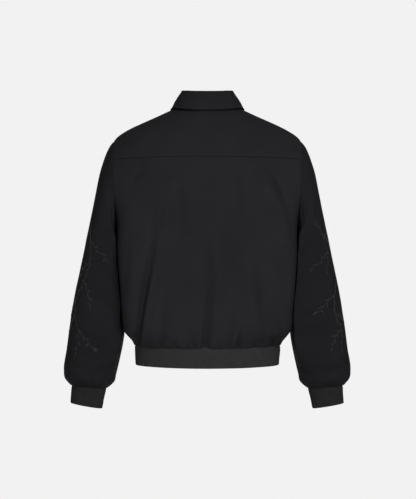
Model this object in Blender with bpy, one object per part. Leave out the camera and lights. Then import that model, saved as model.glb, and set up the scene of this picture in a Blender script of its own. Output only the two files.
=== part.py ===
"""Bomber jacket with a turned-down collar, filled out as it is worn, with no wearer in it.

Every cloth piece is a wall cut from one of two smooth forms, worked out here from their sizes:
the torso, a stack of rounded level sections that closes over the shoulders, and the sleeve,
a row of rings that starts on the torso's armhole. Seams are lines on those forms, so that the
pieces on both sides of a seam meet along the same points, a seam's gap apart.

The front faces -Y, the wearer's left is +X and up is +Z. The origin lies midway between the
two neck points, where the jacket rests on its wearer. Sizes are in millimetres, and a mesh is
scaled to metres when it is made.
"""

import math

import bmesh
import bpy
import numpy as np

MM = 0.001

# Walls and gaps
CLOTH = 2.0
RIB = 3.0
TAPE = 0.8
SEAM_GAP = 0.3
LAYER_GAP = 0.4

# The armhole is a ring that leans with the shoulder.
ARMHOLE_TOP = -72.0
ARMHOLE_BOTTOM = -292.0
ARMHOLE_TOP_X = 233.0
ARMHOLE_BOTTOM_X = 222.0
ARMHOLE_DEPTH = 92.0
ARMHOLE_BACK_LEAN = 3.0
ARMHOLE_FRONT_LEAN = 12.0

# Seams of the torso
HEM_SEAM = -586.0
NECK_POINT = 8.0
NECK_POINT_X = 86.0
NECK_BACK_RISE = 2.0
NECK_FRONT_DROP = 82.0
NECK_SQUARENESS = 2.3
YOKE_RISE = 5.0

# Hem band
HEM_BOTTOM = -634.0
HEM_RISE = 4.5
HEM_RISE_TOP = -500.0

# Zip. Depths are measured into the jacket from the outside of its fronts.
ZIP_GAP = 5.0
TAPE_INNER = 3.3
TAPE_OUTER = 17.0
TAPE_FRONT = 2.5
CHAIN_HALF = 3.0
CHAIN_FRONT = 1.6
CHAIN_BACK = 4.2
ZIP_TOP = -78.0
SLIDER_TOP = -83.0
SLIDER_LENGTH = 11.0
SLIDER_HALF = 4.2
BRIDGE_HALF = 1.3
LUG_HALF = 0.8
LUG_OUT = 2.7
LUG_RADIUS = 1.9
LUG_HOLE = 1.0
PULL_HALF = 2.6
PULL_LENGTH = 27.0
PULL_THICKNESS = 1.0
PULL_BAR = 0.5
PULL_HOLE_HALF = 1.3
PULL_HOLE_FOOT = 6.0
STOP_TOP = -622.0

# How many points each form has
RING_POINTS = 22
HALF_COLUMNS = 10
FRONT_COLUMNS = 10
YOKE_END_POINT = 3


def table(names, rows):
    """A table as named arrays. The first column, at, says where each row stands."""
    return dict(zip(names.split(), np.array(rows, float).T))


# Level sections of the torso: the side line's y, the y of the back and of the front at the
# middle, and how square the corners of its back and of its front are (2 is an ellipse).
TORSO = table(
    "at side_y back_y front_y back_squareness front_squareness",
    [
        (-586, 0, 104, -104, 2.25, 2.25),
        (-574, 5, 110, -109, 2.45, 2.30),
        (-558, 12, 117, -115, 3.10, 2.35),
        (-535, 20, 122, -120, 4.00, 2.40),
        (-495, 26, 127, -125, 5.20, 2.45),
        (-430, 30, 131, -129, 6.00, 2.60),
        (-350, 28, 132, -130, 6.20, 2.75),
        (-292, 20, 132, -128, 5.40, 2.80),
        (-220, 10, 130, -123, 3.90, 2.50),
        (-150, 6, 123, -112, 2.80, 2.40),
        (-110, 5, 115, -101, 2.45, 2.30),
        (-72, 4, 103, -88, 2.25, 2.25),
        (-40, 3, 88, -76, 2.20, 2.20),
        (-10, 1, 72, -64, 2.15, 2.15),
        (12, 0, 60, -56, 2.10, 2.10),
        (30, 0, 52, -50, 2.10, 2.10),
    ],
)

# Half the torso's width at its side seams, from the hem seam to the armhole.
SIDE = table(
    "at x",
    [
        (-586, 183.5),
        (-576, 187),
        (-566, 193),
        (-556, 201),
        (-546, 207),
        (-530, 209),
        (-500, 210.5),
        (-450, 214),
        (-400, 218),
        (-340, 221.5),
        (-292, 222),
    ],
)

# Half the width on the shoulder's ridge, from the armhole to the neck.
RIDGE = table(
    "at x",
    [
        (-72, 233),
        (-66, 228.5),
        (-56, 217),
        (-46, 200.5),
        (-26, 159.5),
        (-6, 116),
        (8, 86),
        (20, 60),
    ],
)

# Largest folds of the torso. Each runs down from its top to its foot, bowed sideways by bow,
# with a trough of this half width and depth. ridge is the height, as a share of the depth, of
# the roll beside it, on the side that its sign gives. peak is how far down it is deepest.
FOLD_COLUMNS = "side top_x top_z foot_x foot_z bow width depth ridge peak"
TORSO_FOLDS = table(
    FOLD_COLUMNS,
    [
        (1, 97, -165, 176, -606, 4, 17, 9.0, -0.55, 0.74),
        (1, -36, -225, 10, -622, -6, 17, 4.5, -0.35, 0.70),
        (1, -140, -132, -196, -262, -4, 13, 5.5, -0.45, 0.45),
        (1, -158, -300, -200, -520, -6, 14, 3.5, 0.35, 0.50),
        (-1, 112, -190, 150, -610, 8, 18, 7.0, -0.45, 0.70),
        (-1, -96, -235, -138, -604, 10, 18, 6.0, 0.45, 0.66),
        (-1, -150, -118, -188, -250, -4, 13, 5.0, -0.45, 0.50),
        (-1, 148, -124, 184, -268, 6, 13, 4.5, 0.45, 0.50),
        (-1, 58, -330, 78, -600, -4, 14, 3.5, 0.40, 0.62),
    ],
)

# Rings of the sleeve, by distance down it: the outermost and innermost points, the middle's y,
# half the front-to-back size, how far the back half lies outwards, how square it is, and how
# much squarer it is at the back where the body presses on it. slide crowds its points towards
# the innermost one. tuck is how far its front half reaches in under the body.
SLEEVE = table(
    "at outer_x outer_z inner_x inner_z mid_y depth lean squareness press slide tuck",
    [
        (0, 233, -72, 222, -292, 8, 92, 5, 2, 0, 0.14, 0),
        (62, 262, -136, 223, -297, 5, 91, 5, 2.3, 4, 0.1, 2),
        (124, 284.5, -236, 223.8, -309, 1, 87, 1, 2.8, 11, 0.05, 9),
        (192, 303.5, -326, 223.5, -340, -2, 84, -1, 3.2, 12, 0, 12),
        (262, 318.5, -397, 219.8, -411, -7, 81, -2, 3.3, 12, 0, 12),
        (332, 333.5, -468, 214.2, -483, -13, 77, -2, 3.3, 12, 0, 12),
        (398, 344.5, -533, 211.4, -549, -21, 72, -1, 3.1, 8, 0, 9),
        (456, 353, -591, 219, -607, -30, 67, 0, 2.8, 3, 0, 3),
        (508, 360.5, -644, 229.5, -656, -38, 62, 1, 2.4, 0, 0, 0),
        (532, 358, -667, 235, -676, -41, 54, 1, 2.2, 0, 0, 0),
        (550, 344.5, -684.5, 252, -691.5, -42, 33, 0, 2.1, 0, 0, 0),
    ],
)
PRESSED_TURN = 0.39 * 2 * math.pi
PRESSED_WIDTH = 0.07 * 2 * math.pi
SLEEVE_ROWS = (0, 20, 44, 76, 120, 176, 242, 308, 368, 424, 474, 508, 531, 550)

# Largest folds of the sleeves: hand is 1 on the wearer's left. Each runs from one turn and
# distance to another. A turn is 0 at the outermost line, a quarter at the back and a half at
# the innermost line. width is a distance down the sleeve, across the fold.
SLEEVE_FOLDS = table(
    "hand turn_a at_a turn_b at_b width depth",
    [
        (1, 0.30, 395, 0.50, 352, 20, 4.5),
        (1, 0.10, 300, 0.42, 372, 22, 3.0),
        (1, 0.60, 300, 0.86, 385, 22, 5.0),
        (1, 0.55, 415, 0.92, 455, 20, 4.0),
        (-1, 0.22, 420, 0.50, 380, 20, 4.5),
        (-1, 0.12, 96, 0.34, 190, 20, 3.0),
        (-1, 0.58, 330, 0.88, 372, 22, 5.0),
        (-1, 0.62, 240, 0.90, 310, 20, 3.5),
    ],
)

# The rib cuff and the rib hem band
CUFF = table(
    "at outer_x outer_z inner_x inner_z mid_y depth lean squareness press slide tuck",
    [
        (0, 342, -685, 253.5, -692, -42, 31, 0, 2.1, 0, 0, 0),
        (23, 343.5, -706, 260, -718, -43, 30, 0, 2.1, 0, 0, 0),
        (47, 345, -729, 265.5, -743, -44, 29, 0, 2.1, 0, 0, 0),
    ],
)
HEM_BAND = table(
    "at half_width half_depth squareness",
    [
        (-634, 179.5, 100.5, 2.25),
        (-618, 180.5, 101.2, 2.25),
        (-600, 181.5, 101.8, 2.25),
        (-586, 182.0, 102.0, 2.25),
    ],
)

# The collar from the middle of the back (0) past the shoulder's ridge (1) to the front (2): the
# line on which it turns over, and the lower edge of its fall.
COLLAR = table(
    "at roll_x roll_y roll_z edge_x edge_y edge_z",
    [
        (0.00, 0, 50, 45.5, 0, 73.5, 2.5),
        (0.35, 32, 47, 46, 39, 71.5, 3.5),
        (0.70, 56, 30, 48, 74, 50, 7.5),
        (1.00, 62, 0, 48, 90, 5, 10),
        (1.35, 55, -40, 22, 90, -56, -12),
        (1.70, 32, -74, -18, 76, -98, -70),
        (2.00, 8, -90, -42, 50, -118, -128),
    ],
)
COLLAR_ROLL = 3.4
COLLAR_WALL = 2.2
COLLAR_COLUMNS = 12


def smooth(rows, name, at):
    """One column's value at these places, on a cubic whose slopes come from the neighbours."""
    x, y = rows["at"], rows[name]
    slope = np.gradient(y, x)
    i = np.clip(np.searchsorted(x, at, side="right") - 1, 0, len(x) - 2)
    step = x[i + 1] - x[i]
    t = (at - x[i]) / step
    start = y[i] * (1 + 2 * t) + slope[i] * step * t
    end = y[i + 1] * (3 - 2 * t) - slope[i + 1] * step * (1 - t)
    return start * (1 - t) ** 2 + end * t**2


def unit(vectors):
    """The same directions, one long."""
    return vectors / np.linalg.norm(vectors, axis=-1, keepdims=True)


# ---------------------------------------------------------------- the torso's form


def armhole_turn(height):
    """The angle round the armhole at a height: 0 at its top, pi at its foot."""
    middle = (ARMHOLE_TOP + ARMHOLE_BOTTOM) / 2
    half = (ARMHOLE_TOP - ARMHOLE_BOTTOM) / 2
    return np.arccos(np.clip((height - middle) / half, -1, 1))


def row_end(side, height):
    """The x where a level row ends, and how far before or behind the side line it ends."""
    turn = armhole_turn(height)
    reach = np.sin(turn)
    down = (ARMHOLE_TOP - height) / (ARMHOLE_TOP - ARMHOLE_BOTTOM)
    lean = np.where(side > 0, ARMHOLE_BACK_LEAN, -ARMHOLE_FRONT_LEAN)
    on_armhole = ARMHOLE_TOP_X + (ARMHOLE_BOTTOM_X - ARMHOLE_TOP_X) * down + lean * reach**3
    on_side = smooth(SIDE, "x", np.minimum(height, ARMHOLE_BOTTOM))
    on_ridge = smooth(RIDGE, "x", np.maximum(height, ARMHOLE_TOP))
    x = np.where(height < ARMHOLE_BOTTOM, on_side, on_armhole)
    x = np.where(height > ARMHOLE_TOP, on_ridge, x)
    return x, ARMHOLE_DEPTH * reach ** (1.25 - 0.25 * np.cos(turn))


def at_side(name, side, height):
    """A column that the torso has for its back (side 1) and for its front (side -1)."""
    return np.where(
        side > 0, smooth(TORSO, f"back_{name}", height), smooth(TORSO, f"front_{name}", height)
    )


def section(side, height):
    """A level section of the torso: squareness, side line, depth, half width and end angle."""
    power = at_side("squareness", side, height)
    side_y = smooth(TORSO, "side_y", height)
    middle_y = at_side("y", side, height)
    depth = np.abs(middle_y - side_y)
    end_x, end_y = row_end(side, height)
    share = (end_y / depth) ** power
    half_width = end_x / (1 - share) ** (1 / power)
    return power, side_y, depth, half_width, np.arcsin(np.sqrt(share))


def fold_depth(folds, side, x, z):
    """How far the folds move the cloth outwards at a point of the torso."""
    moved = np.zeros(np.broadcast(x, z).shape)
    for i in range(len(folds["side"])):
        f = {name: values[i] for name, values in folds.items()}
        down = np.clip((z - f["top_z"]) / (f["foot_z"] - f["top_z"]), 0, 1)
        path = f["top_x"] + (f["foot_x"] - f["top_x"]) * down + f["bow"] * 4 * down * (1 - down)
        swell = np.sin(math.pi * down ** (math.log(0.5) / math.log(f["peak"])))
        off = (x - path) / f["width"]
        beside = off - 1.7 * math.copysign(1, f["ridge"])
        roll = abs(f["ridge"]) * np.exp(-(beside**2))
        shape = swell * f["depth"] * (roll - np.exp(-(off**2)))
        moved = moved + np.where(side == f["side"], shape, 0)
    return moved


def hung(points):
    """The points near the hem, lifted by the square of x: the garment hangs lowest at its middle."""
    share = np.abs(points[..., 0]) / SIDE["x"][0]
    near_hem = np.clip((HEM_RISE_TOP - points[..., 2]) / (HEM_RISE_TOP - HEM_SEAM), 0, 1)
    lift = HEM_RISE * share**2 * near_hem
    return points + lift[..., None] * np.array([0, 0, 1.0])


def torso(side, across, height):
    """Points and outward normals. across is 0 at the middle and 1 or -1 where the row ends.

    A level section is a superellipse, |x/a|^n + |y/b|^n = 1, walked by its angle. The normal is
    its gradient in space, tilted by the slope of the folds.
    """
    side, across, height = np.broadcast_arrays(side, across, height)
    power, side_y, depth, half_width, end = section(side, height)
    angle = math.pi / 2 - (math.pi / 2 - end) * np.abs(across) ** (power / 2)
    x = np.sign(across) * half_width * np.clip(np.cos(angle), 0, 1) ** (2 / power)
    y = side_y + side * depth * np.sin(angle) ** (2 / power)
    points = np.stack([x, y, height], -1)
    normals = torso_normal(side, points)
    moved = fold_depth(TORSO_FOLDS, side, x, height)
    near = 1.0
    slope_x = fold_depth(TORSO_FOLDS, side, x + near, height) - moved
    slope_z = fold_depth(TORSO_FOLDS, side, x, height + near) - moved
    slope = np.stack([slope_x, np.zeros_like(slope_x), slope_z], -1) / near
    slope -= normals * np.sum(slope * normals, -1, keepdims=True)
    return hung(points + normals * moved[..., None]), unit(normals - slope)


def torso_normal(side, points):
    """The gradient of the section's equation at points of the torso."""

    def value(height):
        power, side_y, depth, half_width, _ = section(side, height)
        return (np.abs(x) / half_width) ** power + (np.abs(y - side_y) / depth) ** power

    x, y, z = np.moveaxis(points, -1, 0)
    power, side_y, depth, half_width, _ = section(side, z)
    near = 0.5
    by_x = power * np.sign(x) * np.abs(x) ** (power - 1) / half_width**power
    by_y = power * side * np.abs(y - side_y) ** (power - 1) / depth**power
    by_z = (value(z + near) - value(z - near)) / (2 * near)
    return unit(np.stack([by_x, by_y, by_z], -1))


def across_at(side, x, height):
    """The place across a row where it passes this x."""
    power, _, _, half_width, end = section(side, height)
    angle = np.arccos(np.clip(np.abs(x) / half_width, 0, 1) ** (power / 2))
    share = np.clip((math.pi / 2 - angle) / (math.pi / 2 - end), 0, 1)
    return np.sign(x) * share ** (2 / power)


def ring_turns(count=RING_POINTS):
    """Even steps round a ring."""
    return np.arange(count) * 2 * math.pi / count


def armhole_heights(turns):
    """The height of the armhole at these turns of the sleeve, which crowd towards its foot."""
    turned = turns + SLEEVE["slide"][0] * np.sin(turns)
    middle = (ARMHOLE_TOP + ARMHOLE_BOTTOM) / 2
    return middle + (ARMHOLE_TOP - middle) * np.cos(turned)


def armhole_ring(hand, turns):
    """Points and torso normals round one armhole. The back half comes first."""
    side = np.where(turns <= math.pi, 1.0, -1.0)
    return torso(side, float(hand), armhole_heights(turns))


# ---------------------------------------------------------------- the sleeve's form


def ring(rows, i, turns):
    """One ring: a superellipse between its outermost and innermost points."""
    r = {name: values[i] for name, values in rows.items()}
    turned = turns + r["slide"] * np.sin(turns)
    pressed = np.exp(-(((turns - PRESSED_TURN) / PRESSED_WIDTH) ** 2))
    power = 2 / (r["squareness"] + r["press"] * pressed)
    cosine, sine = np.cos(turned), np.sin(turned)
    cosine = np.sign(cosine) * np.abs(cosine) ** power
    sine = np.sign(sine) * np.abs(sine) ** power
    outer = np.array([r["outer_x"], r["mid_y"], r["outer_z"]])
    inner = np.array([r["inner_x"], r["mid_y"], r["inner_z"]])
    outwards = r["lean"] * sine + r["tuck"] * np.minimum(sine, 0)
    sideways = np.stack([outwards, r["depth"] * sine, np.zeros_like(sine)], -1)
    return (outer + inner) / 2 + cosine[:, None] * (outer - inner) / 2 + sideways


def along_rings(rings, places, start, at):
    """A cubic down the sleeve through its rings. start is the direction of its first points."""
    slopes = np.gradient(rings, places, axis=0)
    slopes[0] = start
    i = np.clip(np.searchsorted(places, at, side="right") - 1, 0, len(places) - 2)
    step = (places[i + 1] - places[i])[:, None, None]
    t = (at - places[i])[:, None, None] / step
    head = rings[i] * (1 + 2 * t) + slopes[i] * step * t
    foot = rings[i + 1] * (3 - 2 * t) - slopes[i + 1] * step * (1 - t)
    return head * (1 - t) ** 2 + foot * t**2


def tube_normals(grid):
    """Outward normals of a closed tube, rows down it and columns round it."""
    round_it = np.roll(grid, -1, 1) - np.roll(grid, 1, 1)
    down_it = np.gradient(grid, axis=0)
    normals = unit(np.cross(round_it, down_it))
    middle = grid.mean(1, keepdims=True)
    return normals * np.sign(np.sum(normals * (grid - middle)))


def sleeve_fold_depth(hand, turns, at):
    """How far the folds move the sleeve's cloth outwards, at turns across and places down."""
    share = (turns / (2 * math.pi))[None, :]
    moved = np.zeros((len(at), len(turns)))
    for i in range(len(SLEEVE_FOLDS["hand"])):
        f = {name: values[i] for name, values in SLEEVE_FOLDS.items()}
        if f["hand"] != hand:
            continue
        along = (share - f["turn_a"]) / (f["turn_b"] - f["turn_a"])
        off = (at[:, None] - f["at_a"] - (f["at_b"] - f["at_a"]) * along) / f["width"]
        swell = np.sin(math.pi * np.clip(along, 0, 1))
        moved += swell * f["depth"] * (0.5 * np.exp(-((off - 1.6) ** 2)) - np.exp(-(off**2)))
    return moved


def sleeve(hand, turns, at):
    """Points and normals of one sleeve, for a grid of turns and distances down it.

    Its first ring is the armhole. There the cloth leaves in the torso's own plane over the
    shoulder, and drops away from it, in a valley, under the arm.
    """
    at = np.asarray(at, float)
    armhole, normals = armhole_ring(1, turns)
    rings = [armhole] + [ring(SLEEVE, i, turns) for i in range(1, len(SLEEVE["at"]))]
    rings = np.array(rings)
    leave = (rings[1] - armhole) / (SLEEVE["at"][1] - SLEEVE["at"][0])
    over_shoulder = np.clip((np.cos(turns) + 0.9) / 1.2, 0, 1)[:, None]
    leave -= normals * np.sum(leave * normals, -1, keepdims=True) * over_shoulder
    grid = along_rings(rings, SLEEVE["at"], leave, at)
    grid += tube_normals(grid) * sleeve_fold_depth(hand, turns, at)[..., None]
    outwards = tube_normals(grid)
    outwards[0] = unit(outwards[0] + (normals - outwards[0]) * over_shoulder)
    return grid * (hand, 1, 1), outwards * (hand, 1, 1)


# ---------------------------------------------------------------- making meshes


def material(name, colour, roughness, metallic=0.0):
    """A plain finish for one kind of piece."""
    found = bpy.data.materials.get(name)
    if found:
        return found
    made = bpy.data.materials.new(name)
    made.use_nodes = True
    shader = made.node_tree.nodes["Principled BSDF"]
    shader.inputs["Base Color"].default_value = (*colour, 1)
    shader.inputs["Roughness"].default_value = roughness
    shader.inputs["Metallic"].default_value = metallic
    return made


def twill():
    """The jacket's body, sleeves and collar."""
    return material("black_twill", (0.017, 0.017, 0.018), 0.72)


def rib_knit():
    """The cuffs and the hem band."""
    return material("charcoal_rib", (0.032, 0.032, 0.033), 0.9)


def tape_cloth():
    """The zip's tapes."""
    return material("zip_tape", (0.012, 0.012, 0.013), 0.85)


def dark_metal():
    """The zip's chain, slider, pull and stop."""
    return material("dark_metal", (0.06, 0.06, 0.065), 0.38, 1.0)


def trimmed(grid, normals, sides, gap=SEAM_GAP):
    """The grid with these edges drawn in by half a seam's gap, within the cloth's own surface.

    top and foot are the first and last rows, left and right the first and last columns.
    """
    grid = grid.copy()
    whole = grid.copy()
    edges = {
        "top": (np.s_[0], np.s_[1]),
        "foot": (np.s_[-1], np.s_[-2]),
        "left": (np.s_[:, 0], np.s_[:, 1]),
        "right": (np.s_[:, -1], np.s_[:, -2]),
    }
    for side in sides:
        edge, beside = edges[side]
        along = np.gradient(whole[edge], axis=0)
        inwards = unit(np.cross(normals[edge], along))
        towards = np.sum(inwards * (whole[beside] - whole[edge]))
        grid[edge] += inwards * np.sign(towards) * gap / 2
    return grid


def add_mesh(name, points, faces, finish, collection):
    """A named object from points in millimetres, with its faces turned outwards."""
    mesh = bpy.data.meshes.new(name)
    mesh.from_pydata((np.asarray(points) * MM).tolist(), [], faces)
    shape = bmesh.new()
    shape.from_mesh(mesh)
    bmesh.ops.recalc_face_normals(shape, faces=shape.faces)
    shape.to_mesh(mesh)
    shape.free()
    mesh.shade_smooth()
    mesh.set_sharp_from_angle(angle=math.radians(50))
    mesh.materials.append(finish)
    obj = bpy.data.objects.new(name, mesh)
    collection.objects.link(obj)
    return obj


def add_wall(name, outer, normals, thickness, finish, collection, closed=False):
    """A cloth wall between a grid of points and the same grid moved inwards by its thickness."""
    rows, columns = outer.shape[:2]
    inner = outer - normals * thickness
    points = np.concatenate([outer.reshape(-1, 3), inner.reshape(-1, 3)])
    index = np.arange(2 * rows * columns).reshape(2, rows, columns)
    if closed:
        index = np.concatenate([index, index[:, :, :1]], 2)
    faces = []
    for sheet, turn in ((index[0], 1), (index[1], -1)):
        corners = [sheet[:-1, :-1], sheet[:-1, 1:], sheet[1:, 1:], sheet[1:, :-1]]
        faces += np.stack(corners[::turn], -1).reshape(-1, 4).tolist()
    rims = [(index[0, 0], index[1, 0]), (index[1, -1], index[0, -1])]
    if not closed:
        rims += [(index[1, :, 0], index[0, :, 0]), (index[0, :, -1], index[1, :, -1])]
    for near, far in rims:
        faces += np.stack([near[:-1], far[:-1], far[1:], near[1:]], -1).tolist()
    return add_mesh(name, points, faces, finish, collection)


# ---------------------------------------------------------------- torso pieces


def armhole_row_heights():
    """The heights of the torso's rows beside the armhole, from its foot up to its top."""
    return armhole_heights(ring_turns())[: RING_POINTS // 2 + 1][::-1]


LOWER_ROWS = (-586, -577, -565, -548, -522, -475, -415, -350)
RIDGE_ROWS = (-58, -38, -15, 8)


def back_panel(collection):
    """The back below the yoke, from the hem seam to the yoke seam."""
    beside_armhole = armhole_row_heights()[: RING_POINTS // 2 + 1 - YOKE_END_POINT]
    ends = np.concatenate([LOWER_ROWS, beside_armhole])
    across = np.linspace(-1, 1, 2 * HALF_COLUMNS + 1)
    rise = ((ends - HEM_SEAM) / (ends[-1] - HEM_SEAM)) ** 2
    height = ends[:, None] + YOKE_RISE * (1 - across**2) * rise[:, None]
    grid, normals = torso(1.0, across[None, :], height)
    grid = trimmed(grid, normals, ("top", "foot", "left", "right"))
    add_wall("back_panel", grid, normals, CLOTH, twill(), collection)


def back_yoke(collection):
    """The yoke, from its seam over the shoulder blades up to the shoulder ridge and the neck."""
    beside_armhole = armhole_row_heights()[RING_POINTS // 2 - YOKE_END_POINT :]
    ends = np.concatenate([beside_armhole, RIDGE_ROWS])
    across = np.linspace(-1, 1, 2 * HALF_COLUMNS + 1)
    up = (ends - ends[0]) / (ends[-1] - ends[0])
    rise = YOKE_RISE + (NECK_BACK_RISE - YOKE_RISE) * up
    height = ends[:, None] + rise[:, None] * (1 - across**2)
    grid, normals = torso(1.0, across[None, :], height)
    grid = trimmed(grid, normals, ("top", "foot", "left", "right"))
    add_wall("back_yoke", grid, normals, CLOTH, twill(), collection)


def front_neckline(share):
    """The x and height of the front neckline, from the zip (0) to the neck point (1)."""
    power = 2 / NECK_SQUARENESS
    angle = share * math.pi / 2
    x = NECK_POINT_X * np.sin(angle) ** power
    height = NECK_POINT - NECK_FRONT_DROP * np.clip(np.cos(angle), 0, 1) ** power
    return x, height


def front_rows():
    """The heights at which the front's rows meet its outer edge, and their pull to the neck."""
    ends = np.concatenate([LOWER_ROWS, armhole_row_heights(), RIDGE_ROWS])
    pull = np.clip((ends - ARMHOLE_BOTTOM) / (NECK_POINT - ARMHOLE_BOTTOM), 0, 1) ** 2
    return ends, pull


def front_grid(hand, share):
    """One front: share is 0 at the zip and 1 at the side seam, armhole and shoulder."""
    ends, pull = front_rows()
    pull = pull[:, None]
    neck_x, neck_height = front_neckline(share)
    dip = -NECK_FRONT_DROP * np.cos(share * math.pi / 2) ** 2
    height = ends[:, None] + pull * (dip + (neck_height - NECK_POINT - dip) * pull**3)
    at_zip = across_at(-1.0, ZIP_GAP, height)
    on_neck = across_at(-1.0, np.maximum(neck_x, ZIP_GAP), height[-1])
    spread = (on_neck - on_neck[0]) / (1 - on_neck[0])
    spread = share + (spread - share) * pull**3
    return torso(-1.0, hand * (at_zip + (1 - at_zip) * spread), height)


def front(hand, name, collection):
    """One front, from the zip to the side seam, armhole, shoulder and neck."""
    grid, normals = front_grid(hand, np.linspace(0, 1, FRONT_COLUMNS + 1))
    grid = trimmed(grid, normals, ("top", "foot", "right"))
    add_wall(name, grid, normals, CLOTH, twill(), collection)


# ---------------------------------------------------------------- sleeves, cuffs and hem


def add_sleeve(hand, name, collection):
    """One sleeve, from the armhole to the cuff's seam."""
    grid, normals = sleeve(hand, ring_turns(), SLEEVE_ROWS)
    wrapped = np.concatenate([grid, grid[:, :1]], 1)
    along = np.concatenate([normals, normals[:, :1]], 1)
    grid = trimmed(wrapped, along, ("top", "foot"))[:, :-1]
    add_wall(name, grid, normals, CLOTH, twill(), collection, closed=True)


def add_cuff(hand, name, collection):
    """One rib cuff."""
    turns = ring_turns()
    grid = np.array([ring(CUFF, i, turns) for i in range(len(CUFF["at"]))]) * (hand, 1, 1)
    add_wall(name, grid, tube_normals(grid), RIB, rib_knit(), collection, closed=True)


def band_point(angle, height):
    """A point of the hem band. The angle is 0 at the wearer's left, and grows to the back."""
    power = 2 / smooth(HEM_BAND, "squareness", height)
    cosine, sine = np.cos(angle), np.sin(angle)
    x = smooth(HEM_BAND, "half_width", height) * np.sign(cosine) * np.abs(cosine) ** power
    y = smooth(HEM_BAND, "half_depth", height) * np.sign(sine) * np.abs(sine) ** power
    return hung(np.stack(np.broadcast_arrays(x, y, height), -1))


def hem_band(collection):
    """The rib band, from one side of the zip round the back to the other."""
    half_width = HEM_BAND["half_width"][-1]
    power = HEM_BAND["squareness"][-1]
    to_zip = math.pi / 2 - math.asin((ZIP_GAP / half_width) ** (power / 2))
    angle = np.linspace(-to_zip, math.pi + to_zip, 4 * HALF_COLUMNS + 1)[None, :]
    height = np.array([HEM_SEAM - SEAM_GAP, -610, HEM_BOTTOM])[:, None]
    grid = band_point(angle, height)
    round_it = np.gradient(grid, axis=1)
    normals = unit(np.cross(round_it, np.gradient(grid, axis=0)))
    normals *= np.sign(np.sum(normals * grid * (1, 1, 0)))
    add_wall("hem_band", grid, normals, RIB, rib_knit(), collection)


# ---------------------------------------------------------------- the collar


def neck_seam(at):
    """The neck seam: 0 at the middle of the back, 1 or -1 at the neck points, 2 at the front."""
    share = np.abs(at)
    behind = np.minimum(share, 1)
    back, _ = torso(1.0, behind, NECK_POINT + NECK_BACK_RISE * (1 - behind**2))
    x, height = front_neckline(np.clip(2 - share, 0, 1))
    ahead, _ = torso(-1.0, across_at(-1.0, np.maximum(x, ZIP_GAP), height), height)
    seam = np.where((share <= 1)[:, None], back, ahead)
    return seam * np.stack([np.sign(at + 1e-9), np.ones_like(at), np.ones_like(at)], -1)


def collar_frame(at):
    """The roll line, the edge of the fall, and the directions outwards and upwards along them.

    Both directions stand square to the roll line, so that the roll is round where it dips.
    """
    share, side = np.abs(at), np.sign(at + 1e-9)
    lines = []
    for line in ("roll", "edge"):
        x, y, z = (smooth(COLLAR, f"{line}_{axis}", share) for axis in "xyz")
        lines.append(np.stack([x * side, y, z], -1))
    roll, edge = lines
    along = unit(np.gradient(roll, axis=0))
    outwards = unit(np.cross(along, (0, 0, 1.0)))
    outwards *= np.sign(np.sum(outwards * roll * (1, 1, 0), -1, keepdims=True))
    upwards = np.cross(outwards, along)
    upwards *= np.sign(upwards[:, 2:])
    return roll, edge, outwards, upwards


def clear_of_torso(points, gap):
    """The points, moved out along the torso's normals where they are nearer to it than gap."""
    for _ in range(3):
        x, y, z = np.moveaxis(points, -1, 0)
        side = np.where(y > 0, 1.0, -1.0)
        height = np.minimum(z, NECK_POINT + 4)
        power, side_y, depth, half_width, _ = section(side, height)
        level = (np.abs(x) / half_width) ** power + (np.abs(y - side_y) / depth) ** power
        foot = points * (1, 1, 0) + np.stack([0 * x, 0 * x, height], -1)
        normals = torso_normal(side, foot)
        radius = np.hypot(x, y - side_y) * np.linalg.norm(normals[..., :2], axis=-1)
        near = radius * (1 - np.maximum(level, 1e-6) ** (-1 / power))
        short = np.where(z > height, 0, np.maximum(gap - near, 0))
        points = points + normals * short[..., None]
    return points


def sheet_normals(grid, towards):
    """Normals of an open grid, turned to agree with the given directions."""
    normals = unit(np.cross(np.gradient(grid, axis=1), np.gradient(grid, axis=0)))
    return normals * np.sign(np.sum(normals * towards, -1, keepdims=True))


def collar_stand(collection):
    """The band that rises from the neck seam to the roll line."""
    at = np.linspace(-2, 2, 2 * COLLAR_COLUMNS + 1)
    roll, _, outwards, upwards = collar_frame(at)
    foot = neck_seam(at) + upwards * SEAM_GAP
    top = roll - outwards * (COLLAR_ROLL - COLLAR_WALL / 2)
    share = np.linspace(0, 1, 4)[:, None, None]
    grid = foot + (top - foot) * share
    normals = np.broadcast_to(outwards, grid.shape)
    add_wall("collar_stand", grid, normals, COLLAR_WALL, twill(), collection)


def collar_fall(collection):
    """The leaf: it starts on the stand, rolls over and falls to its outer edge."""
    at = np.linspace(-2, 2, 2 * COLLAR_COLUMNS + 1)
    roll, edge, outwards, upwards = collar_frame(at)
    reach = COLLAR_ROLL + COLLAR_WALL / 2
    rows, away = [], []
    for turn in np.radians([0, 50, 90, 130, 180]):
        turned = upwards * math.sin(turn) - outwards * math.cos(turn)
        rows.append(roll + upwards * SEAM_GAP + turned * reach)
        away.append(turned)
    start = rows[-1]
    for share in np.linspace(0.25, 1, 4):
        rows.append(start + (edge - start) * share + outwards * 2 * math.sin(math.pi * share))
        away.append(outwards + 0.3 * upwards)
    grid = np.array(rows)
    grid[5:] = clear_of_torso(grid[5:], COLLAR_WALL + LAYER_GAP + 1.5)
    normals = sheet_normals(grid, np.array(away))
    normals[:4] = np.array(away)[:4]
    add_wall("collar_fall", grid, normals, COLLAR_WALL, twill(), collection)


# ---------------------------------------------------------------- the zip


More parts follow.
